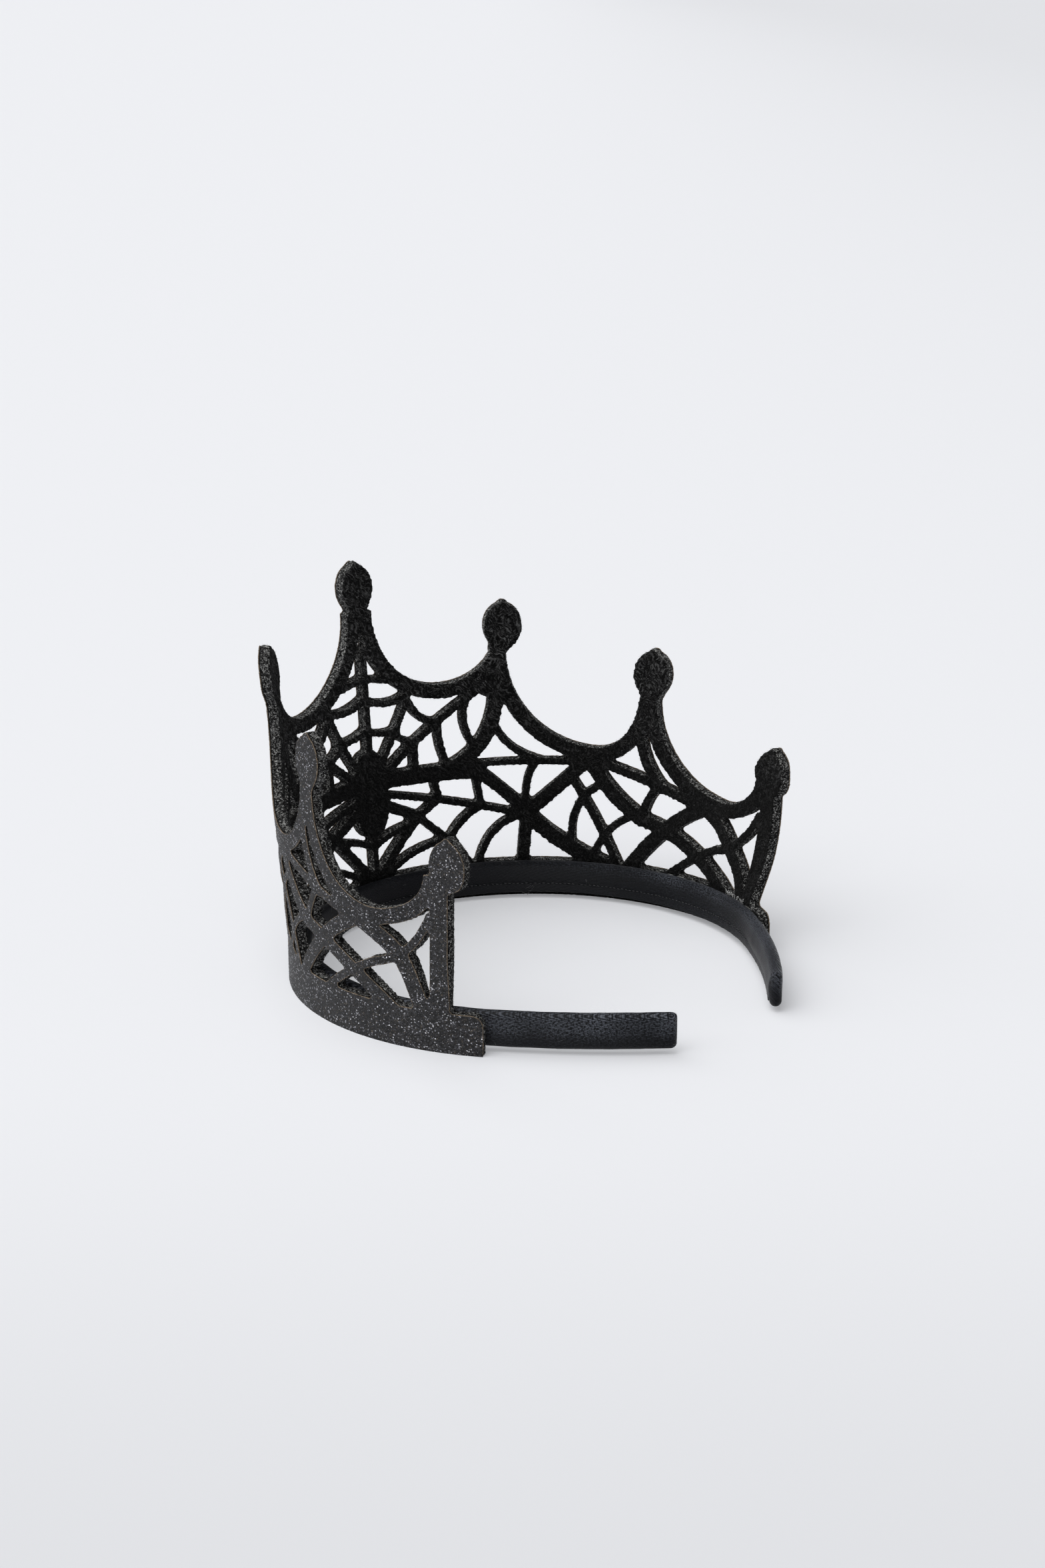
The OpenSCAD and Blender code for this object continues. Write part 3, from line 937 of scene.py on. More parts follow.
class FlatCutter:
    """Cuts flat shapes as closed blocks of one thickness, with s along X, z along Z and d along -Y."""

    oval_sides: int = 32

    def __init__(self, thickness: float, grow: float) -> None:
        """Starts with nothing cut.

        Args:
            thickness: Thickness of the blocks.
            grow: How much wider each edge is cut.
        """
        self.bm = bmesh.new()
        self.thickness = thickness
        self.grow = grow

    def _thicken(self, faces: list[bmesh.types.BMFace]) -> None:
        """Gives flat faces their thickness, both ways closed."""
        made = bmesh.ops.extrude_face_region(self.bm, geom=faces, use_keep_orig=True)
        moved = [e for e in made["geom"] if isinstance(e, bmesh.types.BMVert)]
        bmesh.ops.translate(self.bm, verts=moved, vec=(0.0, -self.thickness, 0.0))

    def blank(self, outline: list[FlatPoint]) -> None:
        """Cuts a filled outline."""
        verts = [self.bm.verts.new((s, 0.0, z)) for s, z in outline]
        face = bmesh.ops.contextual_create(self.bm, geom=verts)["faces"]
        self._thicken(face)

    def oval(self, shape: Oval) -> None:
        """Cuts an oval."""
        size = Matrix.Diagonal((shape.half_width + self.grow, 1.0, shape.half_height + self.grow, 1.0))
        turned = Matrix.Rotation(math.radians(90), 4, "X")
        place = Matrix.Translation((shape.s, 0.0, shape.z)) @ size @ turned
        made = bmesh.ops.create_circle(self.bm, cap_ends=True, radius=1.0, segments=self.oval_sides, matrix=place)
        self._thicken(list({f for v in made["verts"] for f in v.link_faces}))

    def strip(self, path: list[FlatPoint], right: float, left: float) -> None:
        """Cuts a strip along a path, from right to left of it.

        Args:
            path: Points along the strip.
            right: Reach to the right of the path.
            left: Reach to the left of the path.
        """
        sides = []
        for off in (-right - self.grow, left + self.grow):
            verts = []
            for i, (s, z) in enumerate(path):
                ahead, behind = path[min(i + 1, len(path) - 1)], path[max(i - 1, 0)]
                way = Vector((ahead[0] - behind[0], ahead[1] - behind[1])).normalized()
                verts.append(self.bm.verts.new((s - way.y * off, 0.0, z + way.x * off)))
            sides += [self.bm.edges.new(pair) for pair in zip(verts, verts[1:])]
        faces = bmesh.ops.bridge_loops(self.bm, edges=sides)["faces"]
        self._thicken(faces)

    def mirror(self) -> None:
        """Repeats everything on the other side of the front."""
        everything = self.bm.verts[:] + self.bm.edges[:] + self.bm.faces[:]
        bmesh.ops.mirror(self.bm, geom=everything, merge_dist=0.0, axis="X")

    def fused(self, voxel: float) -> bpy.types.Mesh:
        """Joins every block into one closed skin with soft edges.

        Args:
            voxel: Size of a voxel.

        Returns:
            The mesh, still flat.
        """
        bmesh.ops.recalc_face_normals(self.bm, faces=self.bm.faces)
        return modified(mesh_of(self.bm, "flat_blocks"), "REMESH", mode="VOXEL", voxel_size=voxel)


@dataclass(frozen=True)
class CrownCut:
    """The crown's outline, cut from a sheet of a given thickness. Lengths in millimetres."""

    drawing: WebDrawing
    step: float = 1.5
    tuck: float = 0.6

    def cut(self, thickness: float, grow: float, voxel: float) -> bpy.types.Mesh:
        """Cuts the whole crown flat.

        Args:
            thickness: Thickness of the blocks, in millimetres.
            grow: How much wider each edge is cut.
            voxel: Size of a voxel.

        Returns:
            The flat mesh, from Y = 0 to Y = -thickness.
        """
        draw, cutter = self.drawing, FlatCutter(thickness, grow)
        for swag in draw.swags:
            cutter.strip(swag.edge(), draw.rim_w, 0.0)
        half = draw.post_w / 2
        post = draw.post_run - half
        cutter.strip([(post, draw.strip_h - 1), (post, draw.finials[-1].neck_z + 1)], half, half)
        for thread in draw.threads:
            cutter.strip(thread.path(self.step, self.tuck), thread.width / 2, thread.width / 2)
        for knot in draw.knots:
            cutter.oval(knot)
        cutter.mirror()
        for thread in draw.front_threads:
            cutter.strip(thread.path(self.step, 0.0), thread.width / 2, thread.width / 2)
        for part in draw.spider:
            cutter.oval(part)
        for finial in draw.finials:
            left = finial.outline(draw.finial_w, draw.finial_h)
            cutter.blank([(-s, z) for s, z in reversed(left)])
            cutter.blank(finial.right(draw.right_rise).outline(draw.finial_w, draw.finial_h + draw.right_rise))
        cutter.blank(draw.front_finial.outline(draw.finial_w, draw.finial_h))
        cutter.blank(draw.strip_outline())
        return cutter.fused(voxel)


def worn(point: Vector, normal: Vector, edge: float, face: float, seed: float) -> Vector:
    """A flat point moved a little in or out, as cut and pressed felt is uneven.

    Args:
        point: The flat point, in millimetres.
        normal: Its outward direction.
        edge: Largest move on a cut wall.
        face: Largest move on a face.
        seed: Offset into the noise.

    Returns:
        The moved point.
    """
    wall = 1 - abs(normal.y)
    at = Vector((point.x, point.y * 0.5 + seed, point.z))
    fine = noise.noise(at * 1.05) + 0.6 * noise.noise(at * 2.3)
    slow = noise.noise(at * 0.22)
    move = wall * edge * fine + (1 - wall) * face * (fine * 0.5 + slow)
    return point + normal * move


@dataclass(frozen=True)
class FeltLayer:
    """One layer of the crown, from near to far out of the headband's face, in millimetres.

    It is the felt itself, or the glitter sheet on its outer face.
    """

    cut: CrownCut
    crown_set: CrownSet
    near: float
    far: float
    most_triangles: int = 192_000

    def build(self, voxel: float, blocks: float, grow: float, edge: float, face: float) -> bpy.types.Mesh:
        """Cuts, roughens and bends the layer.

        Args:
            voxel: Size of a voxel, in millimetres.
            blocks: Thickness at which the layer is fused, before it is pressed to its own.
            grow: How much wider each edge is cut.
            edge: Unevenness of the cut walls.
            face: Unevenness of the faces.

        Returns:
            The bent mesh, in metres.
        """
        mesh = self.cut.cut(blocks, grow, voxel)
        moved, walls = [], []
        for vertex, normal in zip(mesh.vertices, mesh.vertex_normals):
            facing = Vector(normal.vector)
            walls.append(1 - abs(facing.y))
            point = worn(vertex.co.copy(), facing, edge, face, self.near * 7 + 3)
            depth = self.near + (self.far - self.near) * (-point.y / blocks)
            moved.append((point.x, depth, point.z))
        attribute = mesh.attributes.new("wall", "FLOAT", "POINT")
        attribute.data.foreach_set("value", walls)
        uv = mesh.uv_layers.new(name="cloth")
        for loop, corner in zip(mesh.loops, uv.data):
            s, _, z = moved[loop.vertex_index]
            corner.uv = (s * MM, z * MM)
        for vertex, (s, depth, z) in zip(mesh.vertices, moved):
            vertex.co = self.crown_set.bent(s, max(z, 0.0), depth)
        mesh.calc_loop_triangles()
        triangles = len(mesh.loop_triangles)
        if triangles > self.most_triangles:
            mesh = modified(mesh, "DECIMATE", ratio=self.most_triangles / triangles)
        mesh.shade_smooth()
        mesh.update()
        return mesh


class Scatter:
    """Small shapes strewn over a mesh, built in batches so that each operator works on little."""

    batch: int = 150

    def __init__(self, seed: int) -> None:
        """Starts the seeded choice."""
        self.random = random.Random(seed)
        self.all = bmesh.new()

    def strew(self, places: list[Matrix], shape: Callable[[bmesh.types.BMesh, Matrix], None]) -> None:
        """Builds one shape at each place.

        Args:
            places: Where the shapes stand.
            shape: Adds one shape to a bmesh at a place.
        """
        for first in range(0, len(places), self.batch):
            part = bmesh.new()
            for place in places[first : first + self.batch]:
                shape(part, place)
            mesh = mesh_of(part, "batch")
            self.all.from_mesh(mesh)
            bpy.data.meshes.remove(mesh)

    def piece(
        self,
        name: str,
        places: list[Matrix],
        shape: Callable[[bmesh.types.BMesh, Matrix], None],
        material: bpy.types.Material,
        slot: Slot | None = None,
        smooth: bool = True,
    ) -> bpy.types.Object:
        """Builds one shape at each place and puts them in the scene as one piece.

        Args:
            name: Name of the piece.
            places: Where the shapes stand.
            shape: Adds one shape to a bmesh at a place.
            material: Its finish.
            slot: The record's material slot, if the piece has one.
            smooth: Whether its faces are shaded smooth.

        Returns:
            The object.
        """
        self.strew(places, shape)
        return piece(name, mesh_of(self.all, name, smooth), material, slot)

    def on_faces(
        self,
        mesh: bpy.types.Mesh,
        wanted: Callable[[bpy.types.MeshPolygon], bool],
        count: int,
        tilt: float,
        lift: float,
    ) -> list[Matrix]:
        """Chooses places on a mesh, with Z out of the surface.

        Args:
            mesh: The mesh.
            wanted: Says which faces may be chosen.
            count: How many places.
            tilt: Largest lean from the surface, in radians.
            lift: How far off the surface, in metres.

        Returns:
            The places.
        """
        faces = [p for p in mesh.polygons if wanted(p)]
        places = []
        for _ in range(count):
            face = self.random.choice(faces)
            corners = [mesh.vertices[i].co for i in face.vertices]
            share = [self.random.random() for _ in corners]
            at = sum((c * w for c, w in zip(corners, share)), Vector()) / sum(share)
            lean = Matrix.Rotation(self.random.uniform(0, tilt), 4, "X")
            spin = Matrix.Rotation(self.random.uniform(0, 2 * math.pi), 4, "Z")
            places.append(standing(at + face.normal * lift, face.normal) @ spin @ lean)
        return places


def flake(bm: bmesh.types.BMesh, place: Matrix) -> None:
    """Adds one flat six-sided flake."""
    bmesh.ops.create_circle(bm, cap_ends=True, radius=0.00011, segments=6, matrix=place)


def rod(
    bm: bmesh.types.BMesh, place: Matrix, long: float, low_r: float, high_r: float, sides: int, ends: bool = True
) -> None:
    """Adds one tapered rod along its place's Z.

    Args:
        bm: What it is added to.
        place: Where its middle stands.
        long: Its length, in metres.
        low_r: Radius of its lower end.
        high_r: Radius of its upper end.
        sides: Number of its sides.
        ends: Whether its ends are closed.
    """
    bmesh.ops.create_cone(bm, cap_ends=ends, segments=sides, radius1=low_r, radius2=high_r, depth=long, matrix=place)


def hair(bm: bmesh.types.BMesh, place: Matrix) -> None:
    """Adds one short tapered fibre that stands along Z."""
    long = 0.00075
    rod(bm, place @ Matrix.Translation((0, 0, long * 0.4)), long, 0.00002, 0.000006, 3, ends=False)


class FeltCrown:
    """The felt web with its glitter face, its flakes and the fuzz along its cuts."""

    felt_t: float = 3.3
    sheet_t: float = 0.35
    sheet_gap: float = 0.02
    front_height: float = 0.1054
    felt_area: float = 0.0109
    facing_out: float = 0.93
    clear_of_floor: float = 0.0012

    def __init__(self, crown_set: CrownSet, finishes: Finishes) -> None:
        """Keeps the set and the finishes."""
        self.crown_set = crown_set
        self.finishes = finishes
        self.cut = CrownCut(WebDrawing())

    def build(self) -> list[bpy.types.Object]:
        """Builds every piece of the crown.

        Returns:
            The felt, the glitter sheet, the flakes and the fuzz.
        """
        voxel = 0.45
        split = self.felt_t - self.sheet_t
        felt_layer = FeltLayer(self.cut, self.crown_set, 0.0, split - self.sheet_gap)
        core = felt_layer.build(voxel, blocks=split, grow=0.05, edge=0.36, face=0.06)
        sheet_layer = FeltLayer(self.cut, self.crown_set, split, self.felt_t)
        sheet = sheet_layer.build(voxel, blocks=1.8, grow=0.08, edge=0.10, face=0.03)
        felt = piece("felt_web", core, self.finishes.felt, Slot.FELT)
        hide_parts("felt_crown")
        face = piece("glitter_sheet", sheet, self.finishes.glitter, Slot.FELT)
        flakes = self._flakes(sheet)
        fuzz = self._fuzz(core)
        return [felt, face, flakes, fuzz]

    def _outside(self, polygon: bpy.types.MeshPolygon) -> bool:
        """Whether a face looks away from the wearer's head."""
        middle = self.crown_set.middle
        out = polygon.center - Vector((middle.x, middle.y + self.crown_set.plan.head_r, 0.0)) * MM
        out.z = 0.0
        return polygon.normal.dot(out.normalized()) > self.facing_out

    def _fuzzy(self, polygon: bpy.types.MeshPolygon) -> bool:
        """Whether a face is bare felt that is clear of the floor."""
        return polygon.center.z > self.clear_of_floor and not self._outside(polygon)

    def _flakes(self, sheet: bpy.types.Mesh) -> bpy.types.Object:
        """Flakes that lie in the glitter, each a little tilted."""
        scatter = Scatter(11)
        places = scatter.on_faces(sheet, self._outside, 12000, 0.6, 0.00004)
        return scatter.piece("glitter_flakes", places, flake, self.finishes.flake, Slot.FELT, smooth=False)

    def _fuzz(self, core: bpy.types.Mesh) -> bpy.types.Object:
        """Short fibres on the inner face and the cut walls."""
        scatter = Scatter(12)
        places = scatter.on_faces(core, self._fuzzy, 16000, 1.3, 0.0)
        return scatter.piece("felt_fuzz", places, hair, self.finishes.fuzz, Slot.FELT)


@dataclass(frozen=True)
class SectionPoint:
    """A point of a swept section: d out from the band's outer face, z up."""

    d: float
    z: float


@dataclass(frozen=True)
class BandSweep:
    """Sweeps a section round the plan of the headband, as far as run on each side, and closes it in rounded tips.

    Each tip is rounded off over the length tip, where it loses the share narrowing of its height.
    """

    plan: BandPlan
    run: float
    tip: float
    narrowing: float = 0.24
    front_steps: int = 110
    side_steps: int = 36
    tip_steps: int = 8

    def build(self, section: list[SectionPoint]) -> bmesh.types.BMesh:
        """Sweeps the section to both tips.

        Args:
            section: A closed section.

        Returns:
            The swept bmesh, in millimetres, with the middle of the front at X = 0 and Y = 0.
        """
        plan, bm = self.plan, bmesh.new()
        ring = [bm.verts.new((0.0, -p.d, p.z)) for p in section]
        edges = [bm.edges.new((a, b)) for a, b in zip(ring, ring[1:] + ring[:1])]
        centre_z = sum(p.z for p in section) / len(section)
        centre_d = sum(p.d for p in section) / len(section)
        head_centre = Vector((0.0, plan.head_r, 0.0))
        edges = self._spin(bm, edges, head_centre, plan.front_run / plan.head_r, self.front_steps)
        end_centre = plan.place(plan.front_run) - plan.outward(plan.front_run) * plan.end_r
        body = self.run - self.tip - plan.front_run
        edges = self._spin(bm, edges, end_centre, body / plan.end_r, self.side_steps)
        closing = [math.sin(math.pi / 2 * k / self.tip_steps) for k in range(self.tip_steps + 1)]
        left = [math.sqrt(max(1 - c * c, 0.02)) for c in closing]
        for i in range(self.tip_steps):
            edges = self._spin(bm, edges, end_centre, self.tip * (closing[i + 1] - closing[i]) / plan.end_r, 1)
            s = self.run - self.tip * (1 - closing[i + 1])
            middle = plan.place(s) + plan.outward(s) * centre_d + Vector((0.0, 0.0, centre_z))
            thin = left[i + 1] / left[i]
            low = (1 - self.narrowing * (1 - left[i + 1])) / (1 - self.narrowing * (1 - left[i]))
            stand = Matrix.Translation(middle) @ Matrix.Rotation(plan.turn(s), 4, "Z")
            verts = list({v for e in edges for v in e.verts})
            bmesh.ops.scale(bm, vec=(1.0, thin, low), verts=verts, space=stand.inverted())
        bmesh.ops.holes_fill(bm, edges=edges, sides=0)
        bmesh.ops.mirror(bm, geom=bm.verts[:] + bm.edges[:] + bm.faces[:], merge_dist=0.001, axis="X")
        bmesh.ops.recalc_face_normals(bm, faces=bm.faces)
        # Spinning leaves the faces in another order each run, and the lint's places are drawn from that order
        bm.verts.index_update()
        count = len(bm.verts)
        bm.faces.sort(key=lambda f: min(v.index for v in f.verts) * count + max(v.index for v in f.verts))
        return bm

    @staticmethod
    def _spin(
        bm: bmesh.types.BMesh, edges: list[bmesh.types.BMEdge], centre: Vector, angle: float, steps: int
    ) -> list[bmesh.types.BMEdge]:
        """Spins edges about an upright line and returns the last ring's edges."""
        up = (0.0, 0.0, 1.0)
        made = bmesh.ops.spin(bm, geom=edges, cent=centre, axis=up, angle=angle, steps=steps, use_merge=False)
        return [e for e in made["geom_last"] if isinstance(e, bmesh.types.BMEdge)]


def rounded(
    low: SectionPoint, high: SectionPoint, radius: float, crown: float, steps: int, side_steps: int = 8
) -> list[SectionPoint]:
    """A rectangle with rounded corners, whose inner face is crowned.

    Args:
        low: Its inner lower corner.
        high: Its outer upper corner.
        radius: Radius of the corners.
        crown: How far the middle of the inner face stands proud.
        steps: Points in each corner.
        side_steps: Parts of each upright side.

    Returns:
        The closed section.
    """
    points = []
    middle_d, middle_z = (low.d + high.d) / 2, (low.z + high.z) / 2
    corners = ((high.d, high.z, 0), (low.d, high.z, 90), (low.d, low.z, 180), (high.d, low.z, 270))
    for d, z, start in corners:
        cd = d - math.copysign(radius, d - middle_d)
        cz = z - math.copysign(radius, z - middle_z)
        for i in range(steps + 1):
            a = math.radians(start + 90 * i / steps)
            points.append(SectionPoint(cd + radius * math.cos(a), cz + radius * math.sin(a)))
    sides, closed = [], points + points[:1]
    for a, b in zip(closed, closed[1:]):
        sides.append(a)
        if abs(a.z - b.z) > radius:
            for k in range(1, side_steps):
                t = k / side_steps
                bulge = crown * math.sin(math.pi * t) if a.d < middle_d else 0.0
                sides.append(SectionPoint(a.d + (b.d - a.d) * t - bulge, a.z + (b.z - a.z) * t))
    return sides


class Headband:
    """The padded satin headband with its inner hem, its stitches and the glue that holds the felt.

    Lengths are in millimetres. Numbers that small shapes are built from are in metres.
    """

    height: float = 9.8
    lift: float = 1.45
    thickness: float = 3.2
    gap: float = 0.2
    hem_h: float = 2.6
    hem_t: float = 0.5
    felt_end: float = 141.0
    swell_run: float = 9.0
    knot_at: float = -49.5

    def __init__(self, crown_set: CrownSet, finishes: Finishes) -> None:
        """Keeps the set and the finishes."""
        self.crown_set = crown_set
        self.plan = crown_set.plan
        self.finishes = finishes

    def build(self) -> list[bpy.types.Object]:
        """Builds every piece of the headband.

        Returns:
            The band, the hem and the small pieces on them.
        """
        band, hem = self._band(), self._hem()
        small = [self._stitches(), self._glue(), self._lint(band.data), self._strings(), self._knot()]
        return [band, hem, *small]

    def _finished(
        self, bm: bmesh.types.BMesh, name: str, uneven: float, lengthwise: float, swell: float = 0.0
    ) -> bpy.types.Mesh:
        """Roughens a swept bmesh, gives it its cloth map, and places it in the frame.

        Args:
            bm: The swept bmesh, in millimetres.
            name: Name of the mesh.
            uneven: Largest move of its surface.
            lengthwise: How much longer its unevenness is along the band.
            swell: How much fuller the free ends are padded, on each face.

        Returns:
            The mesh, in metres.
        """
        bm.verts.index_update()
        bm.normal_update()
        runs = {}
        for vert in bm.verts:
            s, d = self.plan.flat(vert.co.x, vert.co.y)
            z = vert.co.z
            runs[vert.index] = (s, z + d)
            at = Vector((s / lengthwise, d * 0.4, z * 0.5))
            move = uneven * (noise.noise(at * 0.8) + 0.5 * noise.noise(at * 2.3))
            free = held((abs(s) - self.felt_end) / self.swell_run)
            end = held((self.plan.band_run - abs(s)) / self.swell_run)
            across = math.sin(math.pi * held((z - self.lift) / self.height)) * (1 - abs(vert.normal.z))
            vert.co += vert.normal * (move + swell * free * end * across)
        layer = bm.loops.layers.uv.new("cloth")
        for face in bm.faces:
            for loop in face.loops:
                s, v = runs[loop.vert.index]
                loop[layer].uv = (s * MM, v * MM)
        bmesh.ops.translate(bm, verts=bm.verts, vec=self.crown_set.middle)
        bmesh.ops.scale(bm, verts=bm.verts, vec=(MM,) * 3)
        return mesh_of(bm, name)

    def _band(self) -> bpy.types.Object:
        """The padded band."""
        low = SectionPoint(-self.gap - self.thickness, self.lift)
        high = SectionPoint(-self.gap, self.lift + self.height)
        bm = BandSweep(self.plan, self.plan.band_run, 1.8).build(rounded(low, high, 1.5, 0.35, 7))
        mesh = self._finished(bm, "satin_band", 0.07, 4.0, swell=0.5)
        obj = piece("satin_band", mesh, self.finishes.satin, Slot.SATIN)
        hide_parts("headband")
        return obj

    def _hem(self) -> bpy.types.Object:
        """The turned hem inside the band, along its lower edge."""
        outer = -2 * self.gap - self.thickness
        low = SectionPoint(outer - self.hem_t / 2, self.lift + 0.55)
        high = SectionPoint(outer + 0.3, low.z + self.hem_h)
        sweep = BandSweep(self.plan, self.plan.band_run - 3, 2.4, narrowing=0.5)
        mesh = self._finished(sweep.build(rounded(low, high, 0.2, 0.05, 4)), "turned_hem", 0.10, 1.3)
        obj = piece("turned_hem", mesh, self.finishes.hem, Slot.HEM)
        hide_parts("band_hem")
        return obj

    def _stitches(self) -> bpy.types.Object:
        """Small stitches just over the hem."""
        scatter = Scatter(21)
        chance = scatter.random.uniform
        outer = -self.gap - self.thickness
        z = self.lift + 0.6 + self.hem_h
        end = self.plan.band_run - 12
        places = []
        s = -end
        while s < end:
            at = self.crown_set.on_band(s, z + chance(-0.12, 0.12), outer - self.hem_t / 2)
            ahead = self.crown_set.on_band(s + 0.5, z + chance(0.05, 0.25), outer)
            behind = self.crown_set.on_band(s - 0.5, z, outer)
            places.append(standing(at, (ahead - behind).normalized()))
            s += 1.35 + chance(-0.1, 0.1)

        def stitch(bm: bmesh.types.BMesh, place: Matrix) -> None:
            """Adds one stitch, a small lens along its own Z."""
            size = Matrix.Diagonal((0.00017, 0.00014, 0.00048, 1.0))
            bmesh.ops.create_icosphere(bm, subdivisions=1, radius=1.0, matrix=place @ size)

        return scatter.piece("hem_stitches", places, stitch, self.finishes.thread, Slot.HEM)

    def _glue(self) -> bpy.types.Object:
        """Beads of glue between the felt and the band's upper edge."""
        scatter = Scatter(22)
        chance = scatter.random.uniform
        z = self.lift + self.height - 0.75
        places = []
        for side in (-1, 1):
            s = 2.0
            while s < self.felt_end - 3:
                out = 0.02 + chance(-0.1, 0.05)
                at = self.crown_set.on_band(side * s, z + chance(-0.35, 0.25), -0.2 + out)
                way = self.plan.outward(side * s).cross(Vector((0, 0, 1)))
                size = chance(0.4, 1.0)
                stretch = Matrix.Diagonal((0.00035 * size, 0.00035 * size, 0.0016 * size, 1.0))
                places.append(standing(at, way) @ stretch)
                s += chance(0.8, 3.0)

        def bead(bm: bmesh.types.BMesh, place: Matrix) -> None:
            """Adds one bead."""
            bmesh.ops.create_icosphere(bm, subdivisions=2, radius=1.0, matrix=place)

        return scatter.piece("glue_beads", places, bead, self.finishes.glue)

    def _lint(self, band: bpy.types.Mesh) -> bpy.types.Object:
        """Stray fibres on the satin."""
        scatter = Scatter(23)

        def fibre(bm: bmesh.types.BMesh, place: Matrix) -> None:
            """Adds one fibre that lies nearly flat."""
            long = scatter.random.uniform(0.0006, 0.0022)
            rod(bm, place @ Matrix.Rotation(math.radians(84), 4, "X"), long, 0.000016, 0.000012, 4)

        smallest_face = 1e-8
        places = scatter.on_faces(band, lambda p: p.area > smallest_face, 130, 0.1, 0.00003)
        return scatter.piece("stray_lint", places, fibre, self.finishes.lint)

    def _strings(self) -> bpy.types.Object:
        """Thin strings of glue that were pulled up from the band's edge at one end of the felt."""
        scatter = Scatter(24)
        chance = scatter.random.uniform
        places = []
        for _ in range(26):
            s = chance(-130.5, -119.5)
            z = self.lift + self.height + chance(-0.1, 0.7)
            at = self.crown_set.on_band(s, z, chance(-1.0, -0.2))
            lean = Matrix.Rotation(chance(-0.7, 0.7), 4, "X")
            turn = Matrix.Rotation(chance(0, math.pi), 4, "Z")
            places.append(Matrix.Translation(at) @ turn @ lean)

        def string(bm: bmesh.types.BMesh, place: Matrix) -> None:
            """Adds one string, thin in its middle."""
            long = chance(0.0006, 0.0015)
            for end, turn in ((-1, 0.0), (1, math.pi)):
                half = place @ Matrix.Translation((0.0, 0.0, end * long / 4)) @ Matrix.Rotation(turn, 4, "X")
                rod(bm, half, long / 2, 0.00009, 0.00004, 5)

        return scatter.piece("glue_strings", places, string, self.finishes.strings)

    def _knot(self) -> bpy.types.Object:
        """The knot of the hem's thread, with its two short tails, on the band's lower edge."""
        scatter = Scatter(25)
        chance = scatter.random.uniform
        inside = -2 * self.gap - self.thickness - self.hem_t / 2
        places = []
        for _ in range(9):
            s = self.knot_at + chance(-2.2, 1.6)
            z = self.lift + chance(-0.2, 2.4)
            at = self.crown_set.on_band(s, z, inside - 0.05)
            way = self.plan.outward(s).cross(Vector((0, 0, 1))) + Vector((0, 0, chance(-1.4, 1.4)))
            places.append(standing(at, way))

        def tail(bm: bmesh.types.BMesh, place: Matrix) -> None:
            """Adds one short end of thread."""
            rod(bm, place, chance(0.0008, 0.0019), 0.00008, 0.00005, 6)

        return scatter.piece("thread_knot", places, tail, self.finishes.thread, Slot.HEM)


# Studio


def toward(azimuth: float, elevation: float) -> Vector:
    """The direction to a camera or a light from the crown. Angles in degrees, azimuth from -Y towards +X."""
    a, e = math.radians(azimuth), math.radians(elevation)
    return Vector((math.sin(a) * math.cos(e), -math.cos(a) * math.cos(e), math.sin(e)))


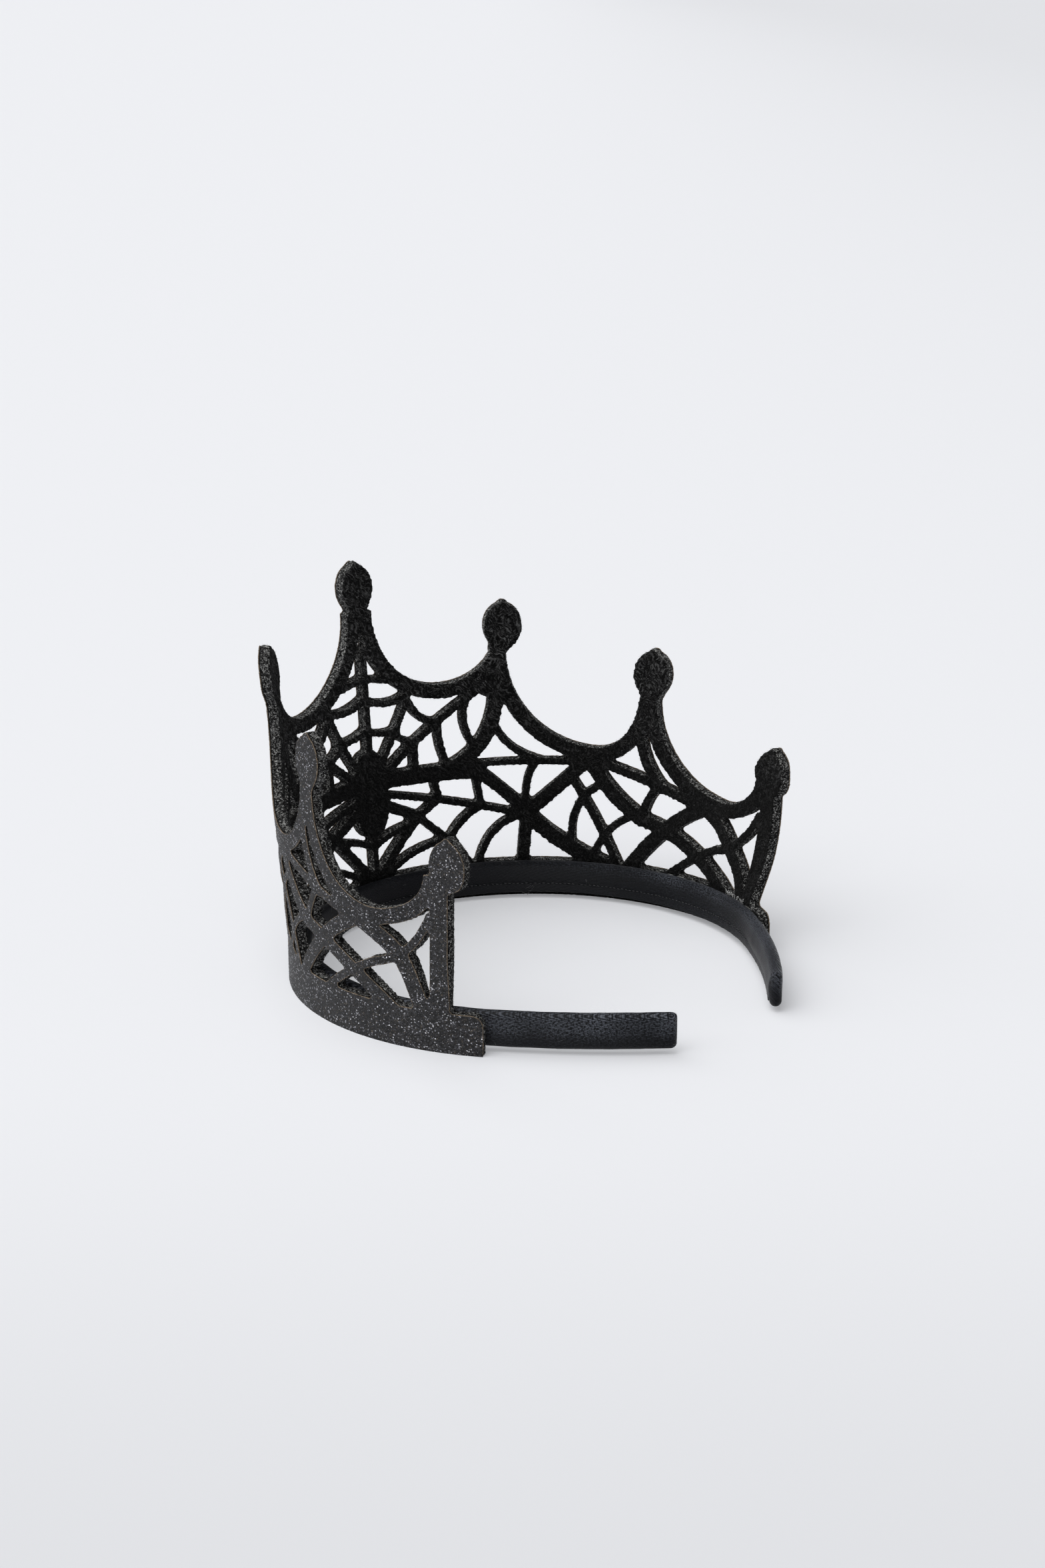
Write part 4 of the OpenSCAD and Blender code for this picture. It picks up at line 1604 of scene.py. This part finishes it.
@dataclass(frozen=True)
class Photograph:
    """Where the photograph was taken from, as fitted to it. Lengths in millimetres, angles in degrees."""

    azimuth: float = 134.84
    elevation: float = 16.33
    roll: float = 0.247
    distance: float = 798.7
    focal_px: float = 4240.5
    long_side_px: float = 2352.0
    look: tuple[float, float, float] = (-10.21, -15.33, 47.65)

    def camera(self) -> None:
        """Makes the scene's camera."""
        data = bpy.data.cameras.new("photo_camera")
        data.sensor_width = 36.0
        data.lens = self.focal_px / self.long_side_px * data.sensor_width
        data.clip_start, data.clip_end = 0.01, 60.0
        back = toward(self.azimuth, self.elevation)
        camera = bpy.data.objects.new("photo_camera", data)
        turn = (-back).to_track_quat("-Z", "Y").to_matrix().to_4x4()
        rolled = Matrix.Rotation(-math.radians(self.roll), 4, "Z")
        stand = Matrix.Translation((Vector(self.look) + back * self.distance) * MM)
        camera.matrix_world = stand @ turn @ rolled
        bpy.context.scene.collection.objects.link(camera)
        bpy.context.scene.camera = camera


@dataclass(frozen=True)
class SoftSun:
    """A far, wide soft light, which lights the whole floor alike. Angles in degrees."""

    name: str
    azimuth: float
    elevation: float
    width: float
    strength: float

    def build(self) -> None:
        """Hangs the light."""
        data = bpy.data.lights.new(self.name, "SUN")
        data.energy = self.strength
        data.angle = math.radians(self.width)
        back = toward(self.azimuth, self.elevation)
        lamp = bpy.data.objects.new(self.name, data)
        lamp.location = back * 2.0
        lamp.rotation_euler = (-back).to_track_quat("-Z", "Y").to_euler()
        bpy.context.scene.collection.objects.link(lamp)


class Studio:
    """A pale floor, soft lights and the photograph's camera."""

    lights: tuple[SoftSun, ...] = (
        SoftSun("window_light", 38.0, 54.0, 90.0, 2.35),
        SoftSun("room_light", 112.0, 52.0, 60.0, 0.95),
    )
    world_tone: Colour = (0.985, 0.99, 1.0, 1.0)
    world_strength: float = 0.18
    floor_r: float = 30.0

    def build(self, finishes: Finishes) -> None:
        """Builds the studio.

        Args:
            finishes: The scene's materials.
        """
        bm = bmesh.new()
        bmesh.ops.create_circle(bm, cap_ends=True, radius=self.floor_r, segments=64)
        floor = bpy.data.objects.new("paper_floor", mesh_of(bm, "paper_floor", smooth=False))
        floor.data.materials.append(finishes.floor)
        bpy.context.scene.collection.objects.link(floor)
        for light in self.lights:
            light.build()
        world = bpy.data.worlds.new("soft_room")
        world.use_nodes = True
        background = world.node_tree.nodes["Background"]
        background.inputs["Color"].default_value = self.world_tone
        background.inputs["Strength"].default_value = self.world_strength
        bpy.context.scene.world = world
        bpy.context.scene.view_settings.view_transform = "Standard"
        Photograph().camera()


def main() -> None:
    """Builds the crown, the headband and the studio."""
    logging.basicConfig(level=logging.INFO, format="%(name)s: %(message)s")
    finishes = Finishes()
    crown_set = set_from_frame()
    for assembly in (FeltCrown(crown_set, finishes), Headband(crown_set, finishes)):
        for made in assembly.build():
            logger.info("built %s", made.name)
    Studio().build(finishes)


if __name__ == "__main__":
    main()
